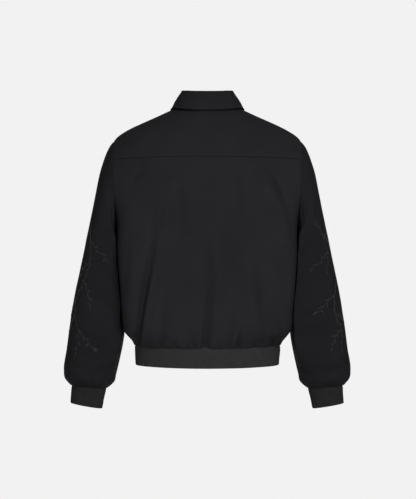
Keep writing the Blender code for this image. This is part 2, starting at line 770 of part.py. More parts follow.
def zip_line(heights):
    """The front's middle at these heights, on the outside: points, and the directions outwards.

    Over the hem band it runs straight down, as deep in as the band's own wall needs.
    """
    heights = np.asarray(heights, float)
    band_inside = -HEM_BAND["half_depth"][0] + RIB - TAPE_FRONT + 2.5 * LAYER_GAP
    top = -558.0
    on_front = np.clip((heights - HEM_SEAM - 9) / (top - HEM_SEAM - 9), 0, 1)
    points, normals = torso(-1.0, 0.0, np.maximum(heights, HEM_SEAM))
    level = points * (1, 0, 0) + np.stack([0 * heights, 0 * heights + band_inside, heights], -1)
    share = on_front[:, None]
    points = level + (points - level) * share
    return points, unit(normals * share + np.array([0, -1.0, 0]) * (1 - share))


def add_bar(name, heights, left, right, front, back, finish, collection):
    """A strip along the zip, between two x and two depths."""
    line, outwards = zip_line(heights)
    corners = ((left, front), (right, front), (right, back), (left, back))
    rows = np.stack([line + (x, 0, 0) - outwards * depth for x, depth in corners], 1)
    count = len(heights)
    index = np.arange(4 * count).reshape(count, 4)
    after = np.roll(index, -1, 1)
    faces = np.stack([index[:-1], after[:-1], after[1:], index[1:]], -1).reshape(-1, 4)
    faces = faces.tolist() + [index[0].tolist(), index[-1].tolist()]
    return add_mesh(name, rows.reshape(-1, 3), faces, finish, collection)


def zip_heights(top, foot):
    """Rows for a strip of the zip: the fronts' own, and one more on the hem band."""
    ends, pull = front_rows()
    rows = np.concatenate([[-600.0], ends + pull * (front_neckline(np.zeros(1))[1] - NECK_POINT)])
    rows = rows[(rows > foot + 2) & (rows < top - 2)]
    return np.concatenate([[top], rows[::-1], [foot]])


def extruded(name, outline, hole, place, finish, collection):
    """A flat shape with a hole in it, given thickness. place sets a 2-D point and a depth."""
    count = len(outline)
    points = []
    for depth in (0, 1):
        for loop in (outline, hole):
            points += [place(point, depth) for point in loop]
    index = np.arange(4 * count).reshape(2, 2, count)
    faces = []
    pairs = (
        (index[0, 0], index[0, 1]),
        (index[0, 1], index[1, 1]),
        (index[1, 1], index[1, 0]),
        (index[1, 0], index[0, 0]),
    )
    for near, far in pairs:
        ring_faces = np.stack([near, np.roll(near, -1), np.roll(far, -1), far], -1)
        faces += ring_faces.tolist()
    return add_mesh(name, points, faces, finish, collection)


def slider_frame():
    """The slider's top, and the directions outwards and down along the zip there."""
    points, normals = torso(-1.0, 0.0, np.array([SLIDER_TOP, SLIDER_TOP - SLIDER_LENGTH]))
    return points[0], unit(normals[0]), unit(points[1] - points[0])


def hinge_point():
    """The middle of the pull's hinge."""
    top, outwards, down = slider_frame()
    return top + outwards * LUG_OUT + down * (SLIDER_LENGTH * 0.45)


def zip_slider(collection):
    """Two plates joined through the chain, with a lug in front for the pull."""
    top, outwards, down = slider_frame()
    front_plate = (0.5, -CHAIN_FRONT + LAYER_GAP)
    back_plate = (-CHAIN_BACK - LAYER_GAP, -CHAIN_BACK - LAYER_GAP - 1.2)
    profile = [
        (SLIDER_HALF, front_plate[0]),
        (SLIDER_HALF, front_plate[1]),
        (BRIDGE_HALF, front_plate[1]),
        (BRIDGE_HALF, back_plate[0]),
        (SLIDER_HALF, back_plate[0]),
        (SLIDER_HALF, back_plate[1]),
    ]
    profile += [(-x, out) for x, out in profile[::-1]]
    narrowing = ((0.0, 0.8), (0.2, 1.0), (0.75, 1.0), (1.0, 0.72))
    points = []
    for share, wide in narrowing:
        for x, out in profile:
            x = x if abs(x) == BRIDGE_HALF else x * wide
            points.append(top + (x, 0, 0) + outwards * out + down * share * SLIDER_LENGTH)
    count = len(profile)
    index = np.arange(len(points)).reshape(-1, count)
    after = np.roll(index, -1, 1)
    faces = np.stack([index[:-1], after[:-1], after[1:], index[1:]], -1).reshape(-1, 4)
    faces = faces.tolist() + [index[0].tolist(), index[-1].tolist()]
    slider = add_mesh("zip_slider", points, faces, dark_metal(), collection)

    turns = ring_turns(16)
    out = np.cos(turns)
    out = np.where(out > 0, out * LUG_RADIUS, np.maximum(out * 2, -1) * (LUG_OUT - 0.1))
    outline = np.stack([out, np.sin(turns) * LUG_RADIUS], -1)
    hole = np.stack([np.cos(turns), np.sin(turns)], -1) * LUG_HOLE
    middle = hinge_point()

    def place(point, depth):
        sideways = (LUG_HALF * (2 * depth - 1), 0, 0)
        return middle + outwards * point[0] + down * point[1] + sideways

    cutters = bpy.data.collections.new("joined_shapes")
    bpy.context.scene.collection.children.link(cutters)
    lug = extruded("zip_slider_lug", outline, hole, place, dark_metal(), cutters)
    lug.hide_render = True
    join = slider.modifiers.new("lug", "BOOLEAN")
    join.operation = "UNION"
    join.solver = "EXACT"
    join.object = lug


def zip_pull(collection):
    """The tab: a bar through the slider's lug, two arms and a plate that hangs down.

    Its origin is on its hinge.
    """
    _, outwards, down = slider_frame()
    turns = ring_turns(16) + math.pi / 16
    square = np.stack([np.cos(turns), np.sin(turns)], -1)
    square = np.sign(square) * np.abs(square) ** 0.45
    half = (PULL_LENGTH - 2 * PULL_BAR) / 2 + PULL_BAR
    outline = square * (PULL_HALF, half) + (0, half - PULL_BAR)
    hole_half = (PULL_HOLE_FOOT - PULL_BAR) / 2
    hole = square * (PULL_HOLE_HALF, hole_half) + (0, hole_half + PULL_BAR)

    def place(point, depth):
        raised = PULL_THICKNESS * (depth - 0.5)
        return np.array([point[0], 0, 0]) + down * point[1] + outwards * raised

    pull = extruded("zip_pull", outline, hole, place, dark_metal(), collection)
    pull.location = hinge_point() * MM


def add_zip(collection):
    """Two tapes behind the fronts, the closed chain between them, the slider, its pull and the
    stop at the foot."""
    foot = HEM_BOTTOM + 1
    for hand, name in ((1, "left"), (-1, "right")):
        ends = sorted((hand * TAPE_INNER, hand * TAPE_OUTER))
        add_bar(
            f"zip_tape_{name}",
            zip_heights(ZIP_TOP, foot),
            *ends,
            TAPE_FRONT,
            TAPE_FRONT + TAPE,
            tape_cloth(),
            collection,
        )
    chain_top = slider_frame()[0][2] + slider_frame()[2][2] * SLIDER_LENGTH - LAYER_GAP
    add_bar(
        "zip_chain",
        zip_heights(chain_top, STOP_TOP + SEAM_GAP),
        -CHAIN_HALF,
        CHAIN_HALF,
        CHAIN_FRONT,
        CHAIN_BACK,
        dark_metal(),
        collection,
    )
    add_bar(
        "zip_stop",
        np.array([STOP_TOP, foot]),
        -CHAIN_HALF,
        CHAIN_HALF,
        CHAIN_FRONT - 0.8,
        CHAIN_BACK + 0.8,
        dark_metal(),
        collection,
    )
    zip_slider(collection)
    zip_pull(collection)


# ---------------------------------------------------------------- main


def clear_scene():
    """Removes whatever the scene held."""
    for obj in list(bpy.data.objects):
        bpy.data.objects.remove(obj, do_unlink=True)


def main():
    """Builds every piece, in one collection."""
    clear_scene()
    collection = bpy.data.collections.new("bomber_jacket")
    bpy.context.scene.collection.children.link(collection)
    back_panel(collection)
    back_yoke(collection)
    for hand, name in ((1, "left"), (-1, "right")):
        front(hand, f"front_{name}", collection)
        add_sleeve(hand, f"sleeve_{name}", collection)
        add_cuff(hand, f"cuff_{name}", collection)
    hem_band(collection)
    collar_stand(collection)
    collar_fall(collection)
    add_zip(collection)


main()
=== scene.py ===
"""Black embroidered bomber jacket, dressed on its frame.

Every cloth piece is a thin wall on a form that is worked out from the jacket's sizes. The torso
is a stack of rounded level sections, and a sleeve is a row of rings that starts on the torso's
armhole. The hem band and the cuffs are short sections and rings of their own, and the collar
runs along two lines. Folds, gathers and seams are heights added along the form's normals.
Points are in millimetres until a mesh is made from them.
"""

import functools
import math
from collections import namedtuple

import bmesh
import bpy
import numpy as np
from bpy.props import FloatProperty, FloatVectorProperty, PointerProperty
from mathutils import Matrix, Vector


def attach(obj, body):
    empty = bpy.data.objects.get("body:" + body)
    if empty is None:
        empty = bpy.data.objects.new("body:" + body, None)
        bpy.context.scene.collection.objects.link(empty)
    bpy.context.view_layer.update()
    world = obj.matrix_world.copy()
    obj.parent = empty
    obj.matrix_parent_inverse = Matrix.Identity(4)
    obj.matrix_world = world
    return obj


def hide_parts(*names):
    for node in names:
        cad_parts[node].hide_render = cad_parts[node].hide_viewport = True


bl_info = {
    "name": "Embroidered Bomber Jacket",
    "version": (1, 0, 0),
    "blender": (4, 5, 0),
    "location": "3D View > Sidebar > Jacket",
    "description": "Makes a black bomber jacket with a collar, rib cuffs and hem, and embroidery",
    "category": "Add Mesh",
}

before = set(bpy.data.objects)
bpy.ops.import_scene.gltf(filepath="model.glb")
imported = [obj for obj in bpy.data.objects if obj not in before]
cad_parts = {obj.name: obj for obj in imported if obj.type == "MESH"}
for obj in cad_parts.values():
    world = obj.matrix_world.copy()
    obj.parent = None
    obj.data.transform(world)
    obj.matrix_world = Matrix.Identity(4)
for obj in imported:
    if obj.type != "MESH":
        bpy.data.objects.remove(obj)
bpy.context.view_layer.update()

MM = 0.001
SIDES = ((1, "left"), (-1, "right"))

# The armhole is a ring that leans with the shoulder.
ARMHOLE_TOP = -72.0
ARMHOLE_BOTTOM = -292.0
ARMHOLE_TOP_X = 233.0
ARMHOLE_BOTTOM_X = 222.0
ARMHOLE_DEPTH = 92.0
ARMHOLE_BACK_LEAN = 3.0
ARMHOLE_FRONT_LEAN = 12.0

# Seams of the torso
HEM_SEAM = -586.0
HEM_BOTTOM = -634.0
HEM_RISE = 4.5
HEM_RISE_TOP = -500.0
TUCKED = 4.0
NECK_POINT = 8.0
NECK_POINT_X = 86.0
NECK_BACK_RISE = 2.0
NECK_FRONT_DROP = 82.0
NECK_SQUARENESS = 2.3
YOKE_RISE = 5.0

# Zip. Depths are measured into the jacket from the outside of its fronts. Over ZIP_BEND it turns
# from the front's slope to straight down, inside the band's solid. A tooth is half an outline
# across x and up, and layers by their depth and size.
ZIP_GAP = 5.0
ZIP_TOP = -78.0
ZIP_BEND = (-577.0, -558.0)
SLIDER_TOP = -83.0
SLIDER_LENGTH = 11.0
STOP_TOP = -622.0
TAPE_EDGE = 1.0
TAPE_OUTER = 17.0
TAPE_FRONT = 2.5
TAPE_CLEAR = 1.0
TAPE = 0.8
BAND_SOLID = 3.0
CHAIN_DEPTH = 2.9
TOOTH_OUTLINE = ((-0.8, -0.45), (-0.3, -0.6), (2.4, -0.6), (3.0, -0.35))
TOOTH_LAYERS = ((-1.3, 0.8), (-1.0, 1.0), (1.0, 1.0), (1.3, 0.8))
CHAIN_FROM_SLIDER = 0.8
CHAIN_FROM_STOP = 0.6
CHAIN_STEPS = 2000

# A stitch's rings: places along it and radii, as shares of its length and of half its thickness
STITCH_SIDES = 6
STITCH_RINGS = ((-0.5, 0.25), (-0.42, 0.8), (-0.2, 1.0), (0.2, 1.0), (0.42, 0.8), (0.5, 0.25))
STITCH_FLATNESS = 0.8
STITCH_UP = 0.12

# The collar's roll, its walls, and how far it stays off the torso. The stand's rows start in its
# allowance, below the neck seam. The roll has half a turn of rows, and all but its last few face
# straight away from it; the fall's rows are shares of the way from there to its edge. On one of
# them the distance of its topstitching from both ends is measured.
COLLAR_ROLL = 3.4
COLLAR_WALL = 2.2
COLLAR_CLEAR = 4.1
STAND_WALL = 1.8
FALL_WALL = 1.9
STAND_HEIGHT = 30.0
STAND_ROWS = 2.0
STAND_ALLOWANCE = (-3.5, -3.3, -2.4, -1.2, -0.5)
ROLL_ROWS = 13
ROLL_ROWS_ROUND = 10
STITCHED_ROW = -8
FALL_ROWS = (*np.linspace(0.04, 0.90, 24), 0.925, 0.95, 0.965, 0.98, 0.99, 1.0)

# How many points stand round the armhole and round a cuff, and at which point of the armhole
# the yoke seam ends
RING_POINTS = 176
CUFF_POINTS = 240
YOKE_END_POINT = 24

# Half the length that the points across a back, a front and the collar are spread over
BACK_HALF = 260
FRONT_HALF = 255
COLLAR_HALF = 212

# The height under which the torso's rows stand closer, and the distance down the sleeve from
# which its rows do
CROWDED_BELOW = -530
CROWDED_BEYOND = 480

# The distance between rows on the shoulders and on the ribs, and how far the added rows beside
# a rim or a seam stand from it
SHOULDER_ROWS = 2.4
CUFF_ROWS = 3.4
BAND_ROWS = 4.0
RIB_RIM = (0.2, 0.6, 1.2)
BELOW_YOKE_SEAM = (0.2, 0.6, 1.2, 2.0, 3.2, 4.8)
ABOVE_YOKE_SEAM = (0.2, 0.6, 1.4, 2.6, 3.8, 4.7, 5.2, 5.8, 6.4, 7.4, 9.0)
FRONT_RIM = (0.15, 0.5, 1.5, 4.7, 5.5, 6.3)

# Unevenness of the cloth, in two layers. On the torso a layer has a height, the size of its
# patches and a seed; on a sleeve a height, the patches round it, their length down it and a seed.
TORSO_UNEVEN = ((0.75, 58, 3), (0.3, 21, 4))
SLEEVE_UNEVEN = ((0.9, 8, 62, 31), (0.3, 22, 23, 41))

# Puckers above the hem: how far up they are worked out, and how far up they reach
GATHERED = 160
GATHER_REACH = 26

# How bright the surroundings are as light, as a share of how bright they look; each light's place,
# diameter and power; the point that all lights face; and the floor's rings
AMBIENT = 0.48
LIGHTS = {
    "back_key": ((-1.4, 3.4, 1.4), 1.5, 155),
    "back_fill": ((0.4, 3.8, -1.1), 1.0, 80),
    "front_key": ((1.0, -3.5, 1.4), 1.5, 145),
    "front_fill": ((-0.4, -3.8, -1.1), 1.0, 78),
}
LIT_POINT = Vector((0, 0, -0.3))
FLOOR_RADII = (20, 900, 1800, 2700, 3500)
FLOOR_SIDES = 96
FLOOR_COLOUR = (0.62, 0.62, 0.62, 1)

# A face of cloth: its points, their normals, how far each stands out as a ridge, from 0 to 1, which
# the finishes paint as highlight on ridges and shade in troughs and seams, and how far the wall's
# inside is moved outwards there
Face = namedtuple("Face", "outer normals ridge inner", defaults=(None, None))


def table(names, rows):
    """A table as named arrays. A column named at says where each row stands."""
    return dict(zip(names.split(), np.array(rows, float).T))


def row_of(rows, i):
    """One row of a table, by the names of its columns."""
    return {name: values[i] for name, values in rows.items()}


# Level sections of the torso: the side line's y, the y of the back and of the front at the
# middle, and how square the corners of its back and of its front are (2 is an ellipse).
TORSO = table("at side_y back_y front_y back_squareness front_squareness", [
    (-586, 0, 104, -104, 2.25, 2.25),
    (-574, 5, 110, -109, 2.45, 2.30),
    (-558, 12, 117, -115, 3.10, 2.35),
    (-535, 20, 122, -120, 4.00, 2.40),
    (-495, 26, 127, -125, 5.20, 2.45),
    (-430, 30, 131, -129, 6.00, 2.60),
    (-350, 28, 132, -130, 6.20, 2.75),
    (-292, 20, 132, -128, 5.40, 2.80),
    (-220, 10, 130, -123, 3.90, 2.50),
    (-150, 6, 123, -112, 2.80, 2.40),
    (-110, 5, 115, -101, 2.45, 2.30),
    (-72, 4, 103, -88, 2.25, 2.25),
    (-40, 3, 88, -76, 2.20, 2.20),
    (-10, 1, 72, -64, 2.15, 2.15),
    (12, 0, 60, -56, 2.10, 2.10),
    (30, 0, 52, -50, 2.10, 2.10),
])

# Half the torso's width at its side seams, from the hem seam to the armhole, and on the
# shoulder's ridge, from the armhole to the neck
SIDE = table("at x", [
    (-586, 183.5), (-576, 187), (-566, 193), (-556, 201), (-546, 207), (-530, 209),
    (-500, 210.5), (-450, 214), (-400, 218), (-340, 221.5), (-292, 222),
])
RIDGE = table("at x", [
    (-72, 233), (-66, 228.5), (-56, 217), (-46, 200.5), (-26, 159.5), (-6, 116), (8, 86), (20, 60),
])

# Folds of the torso. Each runs down from its top to its foot, bowed sideways by bow, with a
# trough of this half width and depth. ridge is the height, as a share of the depth, of the
# roll beside it, on the side that its sign gives. peak is how far down it is deepest.
FOLD_COLUMNS = "side top_x top_z foot_x foot_z bow width depth ridge peak"
TORSO_FOLDS = table(FOLD_COLUMNS, [
    (1, 97, -165, 176, -606, 4, 17, 9.0, -0.55, 0.74),
    (1, -36, -225, 10, -622, -6, 17, 4.5, -0.35, 0.70),
    (1, -140, -132, -196, -262, -4, 13, 5.5, -0.45, 0.45),
    (1, -158, -300, -200, -520, -6, 14, 3.5, 0.35, 0.50),
    (-1, 112, -190, 150, -610, 8, 18, 7.0, -0.45, 0.70),
    (-1, -96, -235, -138, -604, 10, 18, 6.0, 0.45, 0.66),
    (-1, -150, -118, -188, -250, -4, 13, 5.0, -0.45, 0.50),
    (-1, 148, -124, 184, -268, 6, 13, 4.5, 0.45, 0.50),
    (-1, 58, -330, 78, -600, -4, 14, 3.5, 0.40, 0.62),
])

# Creases between the folds, in the same columns
TORSO_CREASES = table(FOLD_COLUMNS, [
    (1, 62, -150, 48, -330, 5, 10, 1.3, 0.40, 0.45),
    (1, 18, -262, -14, -470, -5, 11, 1.5, -0.35, 0.55),
    (1, -72, -138, -92, -290, 3, 9, 1.2, -0.40, 0.40),
    (1, -118, -330, -138, -560, 6, 10, 1.8, 0.35, 0.62),
    (1, 128, -210, 142, -420, -6, 10, 1.5, 0.40, 0.50),
    (1, 186, -300, 200, -470, 3, 9, 1.8, -0.50, 0.55),
    (1, -186, -210, -206, -330, -3, 8, 1.6, 0.50, 0.50),
    (1, 92, -420, 108, -600, 4, 9, 1.8, 0.45, 0.70),
    (1, -62, -430, -56, -604, -4, 9, 1.7, -0.45, 0.72),
    (1, 150, -118, 196, -206, -5, 9, 1.6, 0.45, 0.50),
    (1, 40, -505, 34, -600, 2, 8, 1.6, 0.40, 0.65),
    (1, -170, -505, -176, -600, -3, 8, 1.8, -0.45, 0.60),
    (1, 117, -250, 178, -608, 2, 7.5, 6.4, -0.80, 0.70),
    (1, -12, -290, 10, -612, -5, 10, 3.4, -0.45, 0.70),
    (1, 98, -160, 97, -345, 0, 4.5, -0.9, 0.0, 0.50),
    (1, -142, -138, -190, -248, -3, 6.5, 2.4, -0.55, 0.50),
    (1, 80, -548, 77, -602, 0, 4.5, 3.4, -0.50, 0.74),
    (1, 40, -540, 27, -602, 0, 4.5, 4.6, 0.55, 0.76),
    (1, 0, -500, 7, -602, 1, 5.5, 4.0, 0.50, 0.76),
    (1, -84, -515, -70, -602, 0, 5.5, 5.8, 0.60, 0.70),
    (1, -158, -525, -165, -600, 0, 5, 4.2, -0.50, 0.72),
    (1, 143, -556, 144, -598, 0, 4, 1.8, 0.35, 0.66),
    (1, -28, -560, -27, -598, 0, 4, 1.8, 0.35, 0.66),
    (1, -116, -552, -118, -598, 0, 4.5, 1.8, -0.35, 0.66),
    (-1, 88, -150, 70, -330, 4, 10, 1.4, -0.40, 0.50),
    (-1, -60, -190, -48, -400, -4, 10, 1.4, 0.40, 0.50),
    (-1, 176, -330, 190, -540, 4, 10, 2.0, 0.40, 0.55),
    (-1, -178, -320, -192, -560, -5, 11, 2.2, -0.40, 0.58),
    (-1, 104, -440, 98, -604, -3, 9, 1.8, 0.45, 0.70),
    (-1, -84, -450, -76, -600, 4, 9, 1.8, -0.45, 0.70),
    (-1, 30, -480, 28, -600, 2, 8, 1.4, 0.35, 0.70),
    (-1, -28, -500, -30, -602, -2, 8, 1.4, -0.35, 0.70),
])

# Rings of the sleeve, by distance down it: the outermost and innermost points, the middle's y,
# half the front-to-back size, how far the back half lies outwards, how square it is, and how
# much squarer it is at the back where the body presses on it. slide crowds its points towards
# the innermost one. tuck is how far its front half reaches in under the body.
RING_COLUMNS = "at outer_x outer_z inner_x inner_z mid_y depth lean squareness press slide tuck"
SLEEVE = table(RING_COLUMNS, [
    (0, 233, -72, 222, -292, 8, 92, 5, 2, 0, 0.14, 0),
    (62, 262, -136, 223, -297, 5, 91, 5, 2.3, 4, 0.1, 2),
    (124, 284.5, -236, 223.8, -309, 1, 87, 1, 2.8, 11, 0.05, 9),
    (192, 303.5, -326, 223.5, -340, -2, 84, -1, 3.2, 12, 0, 12),
    (262, 318.5, -397, 219.8, -411, -7, 81, -2, 3.3, 12, 0, 12),
    (332, 333.5, -468, 214.2, -483, -13, 77, -2, 3.3, 12, 0, 12),
    (398, 344.5, -533, 211.4, -549, -21, 72, -1, 3.1, 8, 0, 9),
    (456, 353, -591, 219, -607, -30, 67, 0, 2.8, 3, 0, 3),
    (508, 360.5, -644, 229.5, -656, -38, 62, 1, 2.4, 0, 0, 0),
    (532, 358, -667, 235, -676, -41, 54, 1, 2.2, 0, 0, 0),
    (550, 344.5, -684.5, 252, -691.5, -42, 33, 0, 2.1, 0, 0, 0),
])
CUFF = table(RING_COLUMNS, [
    (0, 342, -685, 253.5, -692, -42, 31, 0, 2.1, 0, 0, 0),
    (23, 343.5, -706, 260, -718, -43, 30, 0, 2.1, 0, 0, 0),
    (47, 345, -729, 265.5, -743, -44, 29, 0, 2.1, 0, 0, 0),
])
SLEEVE_LENGTH = 550.0
EASED_IN = (0.87, 0.93, 0.985, 0.035, 0.08, 0.135)
PRESSED_TURN = 0.39 * 2 * math.pi
PRESSED_WIDTH = 0.07 * 2 * math.pi

# Folds and creases of the sleeves: hand is 1 on the wearer's left. Each runs from one turn and
# distance to another. A turn is 0 at the outermost line, a quarter at the back and a half at the
# innermost line. width is a distance down the sleeve, across the fold.
SLEEVE_FOLD_COLUMNS = "hand turn_a at_a turn_b at_b width depth"
SLEEVE_FOLDS = table(SLEEVE_FOLD_COLUMNS, [
    (1, 0.30, 395, 0.50, 352, 20, 4.5),
    (1, 0.10, 300, 0.42, 372, 22, 3.0),
    (1, 0.60, 300, 0.86, 385, 22, 5.0),
    (1, 0.55, 415, 0.92, 455, 20, 4.0),
    (-1, 0.22, 420, 0.50, 380, 20, 4.5),
    (-1, 0.12, 96, 0.34, 190, 20, 3.0),
    (-1, 0.58, 330, 0.88, 372, 22, 5.0),
    (-1, 0.62, 240, 0.90, 310, 20, 3.5),
])
SLEEVE_CREASES = table(SLEEVE_FOLD_COLUMNS, [
    (1, 0.24, 505, 0.46, 462, 10, 1.8),
    (1, 0.02, 455, 0.26, 505, 10, 1.5),
    (1, 0.32, 250, 0.50, 205, 12, 1.8),
    (1, 0.20, 150, 0.42, 118, 12, 1.3),
    (1, 0.34, 452, 0.50, 420, 10, 1.8),
    (1, 0.62, 480, 0.82, 512, 10, 1.8),
    (1, 0.56, 210, 0.80, 262, 13, 2.2),
    (1, 0.60, 120, 0.84, 168, 13, 1.8),
    (1, 0.70, 345, 0.95, 408, 11, 1.6),
    (1, 0.08, 388, 0.28, 430, 11, 1.3),
    (-1, 0.30, 512, 0.50, 470, 10, 1.8),
    (-1, 0.06, 470, 0.28, 514, 10, 1.8),
    (-1, 0.36, 300, 0.50, 262, 12, 1.8),
    (-1, 0.26, 220, 0.45, 176, 12, 1.5),
    (-1, 0.14, 505, 0.36, 488, 8, 1.4),
    (-1, 0.58, 455, 0.80, 492, 11, 2.0),
    (-1, 0.56, 160, 0.82, 216, 13, 2.2),
    (-1, 0.64, 395, 0.90, 430, 11, 1.8),
    (-1, 0.10, 330, 0.34, 362, 11, 1.3),
    (-1, 0.70, 90, 0.92, 130, 12, 1.5),
    (-1, 0.27, 18, 0.46, 150, 15, 3.0),
    (-1, 0.18, 30, 0.38, 118, 13, 2.2),
    (1, 0.27, 26, 0.46, 150, 15, 2.2),
])

# Sections of the hem band, the height at which its ribs are measured out, and in how many steps
BAND_MIDDLE = -610.0
BAND_STEPS = 4001
HEM_BAND = table("at half_width half_depth squareness", [
    (-634, 179.5, 100.5, 2.25),
    (-618, 180.5, 101.2, 2.25),
    (-600, 181.5, 101.8, 2.25),
    (-586, 182.0, 102.0, 2.25),
])

# The collar from the middle of the back (0) past the shoulder's ridge (1) to the front (2): the
# line on which it turns over, and the lower edge of its fall.
COLLAR = table("at roll_x roll_y roll_z edge_x edge_y edge_z", [
    (0.00, 0, 50, 45.5, 0, 73.5, 2.5),
    (0.35, 32, 47, 46, 39, 71.5, 3.5),
    (0.70, 56, 30, 48, 74, 50, 7.5),
    (1.00, 62, 0, 48, 90, 5, 10),
    (1.35, 55, -40, 22, 90, -56, -12),
    (1.70, 32, -74, -18, 76, -98, -70),
    (2.00, 8, -90, -42, 50, -118, -128),
])

# Stems of the embroidery, by hand: the width of each, and its points as millimetres round the
# sleeve, from its outermost line towards the back, and down it. A leaf grows at every so many
# steps of a main stem and of a twig. A leaf's sheets have these many points along and across.
MAIN, TWIG = 2.8, 2.0
LEAF_EVERY = {MAIN: 15, TWIG: 10}
LEAF_POINTS = (11, 9)
STEM_SIDES = 8
STEMS = {
    1: [
        (MAIN, [
            (50, 148), (74, 186), (90, 234), (76, 282), (52, 324), (58, 370), (82, 408), (78, 456),
        ]),
        (TWIG, [(74, 186), (100, 198), (122, 222)]),
        (TWIG, [(90, 234), (64, 248), (40, 272)]),
        (TWIG, [(76, 282), (98, 304), (110, 334)]),
        (TWIG, [(52, 324), (28, 338), (14, 364)]),
        (TWIG, [(58, 370), (38, 390), (30, 418)]),
        (TWIG, [(82, 408), (104, 420), (116, 444)]),
    ],
    -1: [
        (MAIN, [(104, 132), (80, 168), (68, 214), (84, 256)]),
        (MAIN, [(44, 288), (70, 318), (80, 362), (60, 404), (64, 452)]),
        (TWIG, [(80, 168), (54, 178), (34, 202)]),
        (TWIG, [(68, 214), (92, 222), (116, 244)]),
        (TWIG, [(70, 318), (98, 326), (120, 350)]),
        (TWIG, [(80, 362), (54, 370), (32, 392)]),
        (TWIG, [(60, 404), (86, 418), (98, 444)]),
    ],
}

# Finishes of cloth and thread: the colours of their dark and their pale threads with the brightness
# of each, the pale threads' colour also carrying the painted highlight on ridges; the setting that
# dims both as painted shade; the pattern and depth of the threads, the roughness and gloss, the
# size of the dye's patches, and the pattern's pitch if it isn't the usual
Finish = namedtuple(
    "Finish", "dark light grain pattern depth roughness gloss patch pitch", defaults=(9.0, None)
)
# The twill's pale tone is its paler dye and also the painted highlight on ridges.
TWILL = Finish(("twill", 1.0), ("pale_dye_and_highlight", 1.0), None, "twill_weave", 0.00025, 0.78, 0.03)
RIB = Finish(("rib", 0.6), ("rib", 1.75), None, "knit_rows", 0.0004, 0.90, 0.05, 60.0)
FINISHES = {
    "black_twill_body": TWILL,
    # The sleeves', collar's and cuffs' finishes are the body's and the band's cloth, darkened as
    # painted shade.
    "black_twill_sleeve": TWILL._replace(grain="sleeve_grain"),
    "black_twill_collar": TWILL._replace(grain="collar_grain"),
    "charcoal_rib_hem": RIB,
    "charcoal_rib_cuff": RIB._replace(grain="cuff_pull"),
    "embroidery_satin": Finish(
        ("thread", 0.6), ("thread", 1.0), None, "satin_rows", 0.0003, 0.50, 0.25, 30.0
    ),
    # Topstitches: a thread lighter than the cloth, made lighter still to paint the highlight line
    # along the seams.
    "topstitch_thread": Finish(
        ("stitch", 0.8), ("stitch", 1.1), None, "satin_rows", 0.0002, 0.60, 0.10, 30.0
    ),
    "zip_tape": Finish(
        ("tape", 1.0), ("tape", 1.6), None, "twill_weave", 0.0003, 0.85, 0.1, pitch=0.0018
    ),
}


# ---------------------------------------------------------------- settings


def length(label, says, value, low=0.0):
    """A property that holds a length in metres."""
    return FloatProperty(
        name=label, description=says, default=value, min=low, unit="LENGTH", precision=5
    )


def colour(label, says, value):
    """A property that holds a linear colour."""
    return FloatVectorProperty(
        name=label, description=says, default=value, size=3, min=0.0, max=1.0, subtype="COLOR"
    )


def factor(label, says, value):
    """A property that holds a plain factor."""
    return FloatProperty(name=label, description=says, default=value, min=0.0, max=2.0)


class JacketCloth(bpy.types.PropertyGroup):
    """Walls, folds and seams."""

    wall: length("Cloth wall", "Thickness of the twill", 0.0013)
    rib_wall: length("Rib wall", "Thickness of the rib knit", 0.0024)
    spacing: length("Grid", "Distance between neighbouring points of the cloth", 0.0032)
    crease: factor("Creases", "Depth of the small creases, as a share", 1.0)
    gather: length("Gathers", "Depth of the puckers above the hem band", 0.0023)
    cuff_gather: length("Cuff gathers", "Depth of the puckers above the cuffs", 0.0022)
    seam: length("Seams", "How deep a seam pulls the cloth in", 0.0006)
    rib_pitch: length("Rib pitch", "Width of one rib of the knit", 0.0032)
    rib_relief: length("Rib relief", "Height of one rib of the knit", 0.0006)


class JacketTrim(bpy.types.PropertyGroup):
    """Stitches, zip and embroidery."""

    stitch: length("Stitch", "Length of one topstitch", 0.0030)
    stitch_gap: length("Stitch gap", "Gap between two topstitches", 0.0010)
    stitch_inset: length("Inset", "Distance of the topstitching from an edge", 0.0055)
    thread: length("Thread", "Thickness of the topstitching thread", 0.0007)
    tooth_pitch: length("Tooth pitch", "Distance between the teeth of one side", 0.0025)
    leaf_length: length("Leaf", "Length of an embroidered leaf", 0.0140)
    leaf_width: length("Leaf width", "Width of an embroidered leaf", 0.0036)
    satin: length("Satin height", "How far the embroidery stands up", 0.0007)


class JacketColours(bpy.types.PropertyGroup):
    """Linear colours of the finishes. Sleeves, collar and cuffs are darkened as painted shade."""

    twill: colour("Twill", "Body, sleeves and collar", (0.0066, 0.0066, 0.0074))
    # Paler dye in random patches, and the painted highlight on ridges; troughs and seams go darker
    # as painted shade.
    pale_dye_and_highlight: colour("Twill, ridges", "The twill where it is rubbed", (0.0118, 0.0118, 0.0130))
    rib: colour("Rib", "Cuffs and hem band", (0.0115, 0.0115, 0.0117))
    thread: colour("Embroidery", "Satin stitches", (0.0162, 0.0162, 0.0168))
    # Lighter than the cloth, raised further to paint the highlight line along the topstitched
    # seams.
    stitch: colour("Stitching", "Topstitches", (0.0210, 0.0210, 0.0225))
    tape: colour("Tape", "Zip tape", (0.0120, 0.0120, 0.0130))
    metal: colour("Metal", "Zip teeth, slider and pull", (0.0600, 0.0600, 0.0650))
    # Painted shade: factors that darken the sleeves', the collar's and the cuffs' colours.
    sleeve_grain: factor("Sleeves", "How bright their cloth looks beside the body's", 0.76)
    collar_grain: factor("Collar", "How bright its cloth looks beside the body's", 0.88)
    cuff_pull: factor("Cuffs", "How bright their knit looks beside the hem band's", 0.65)


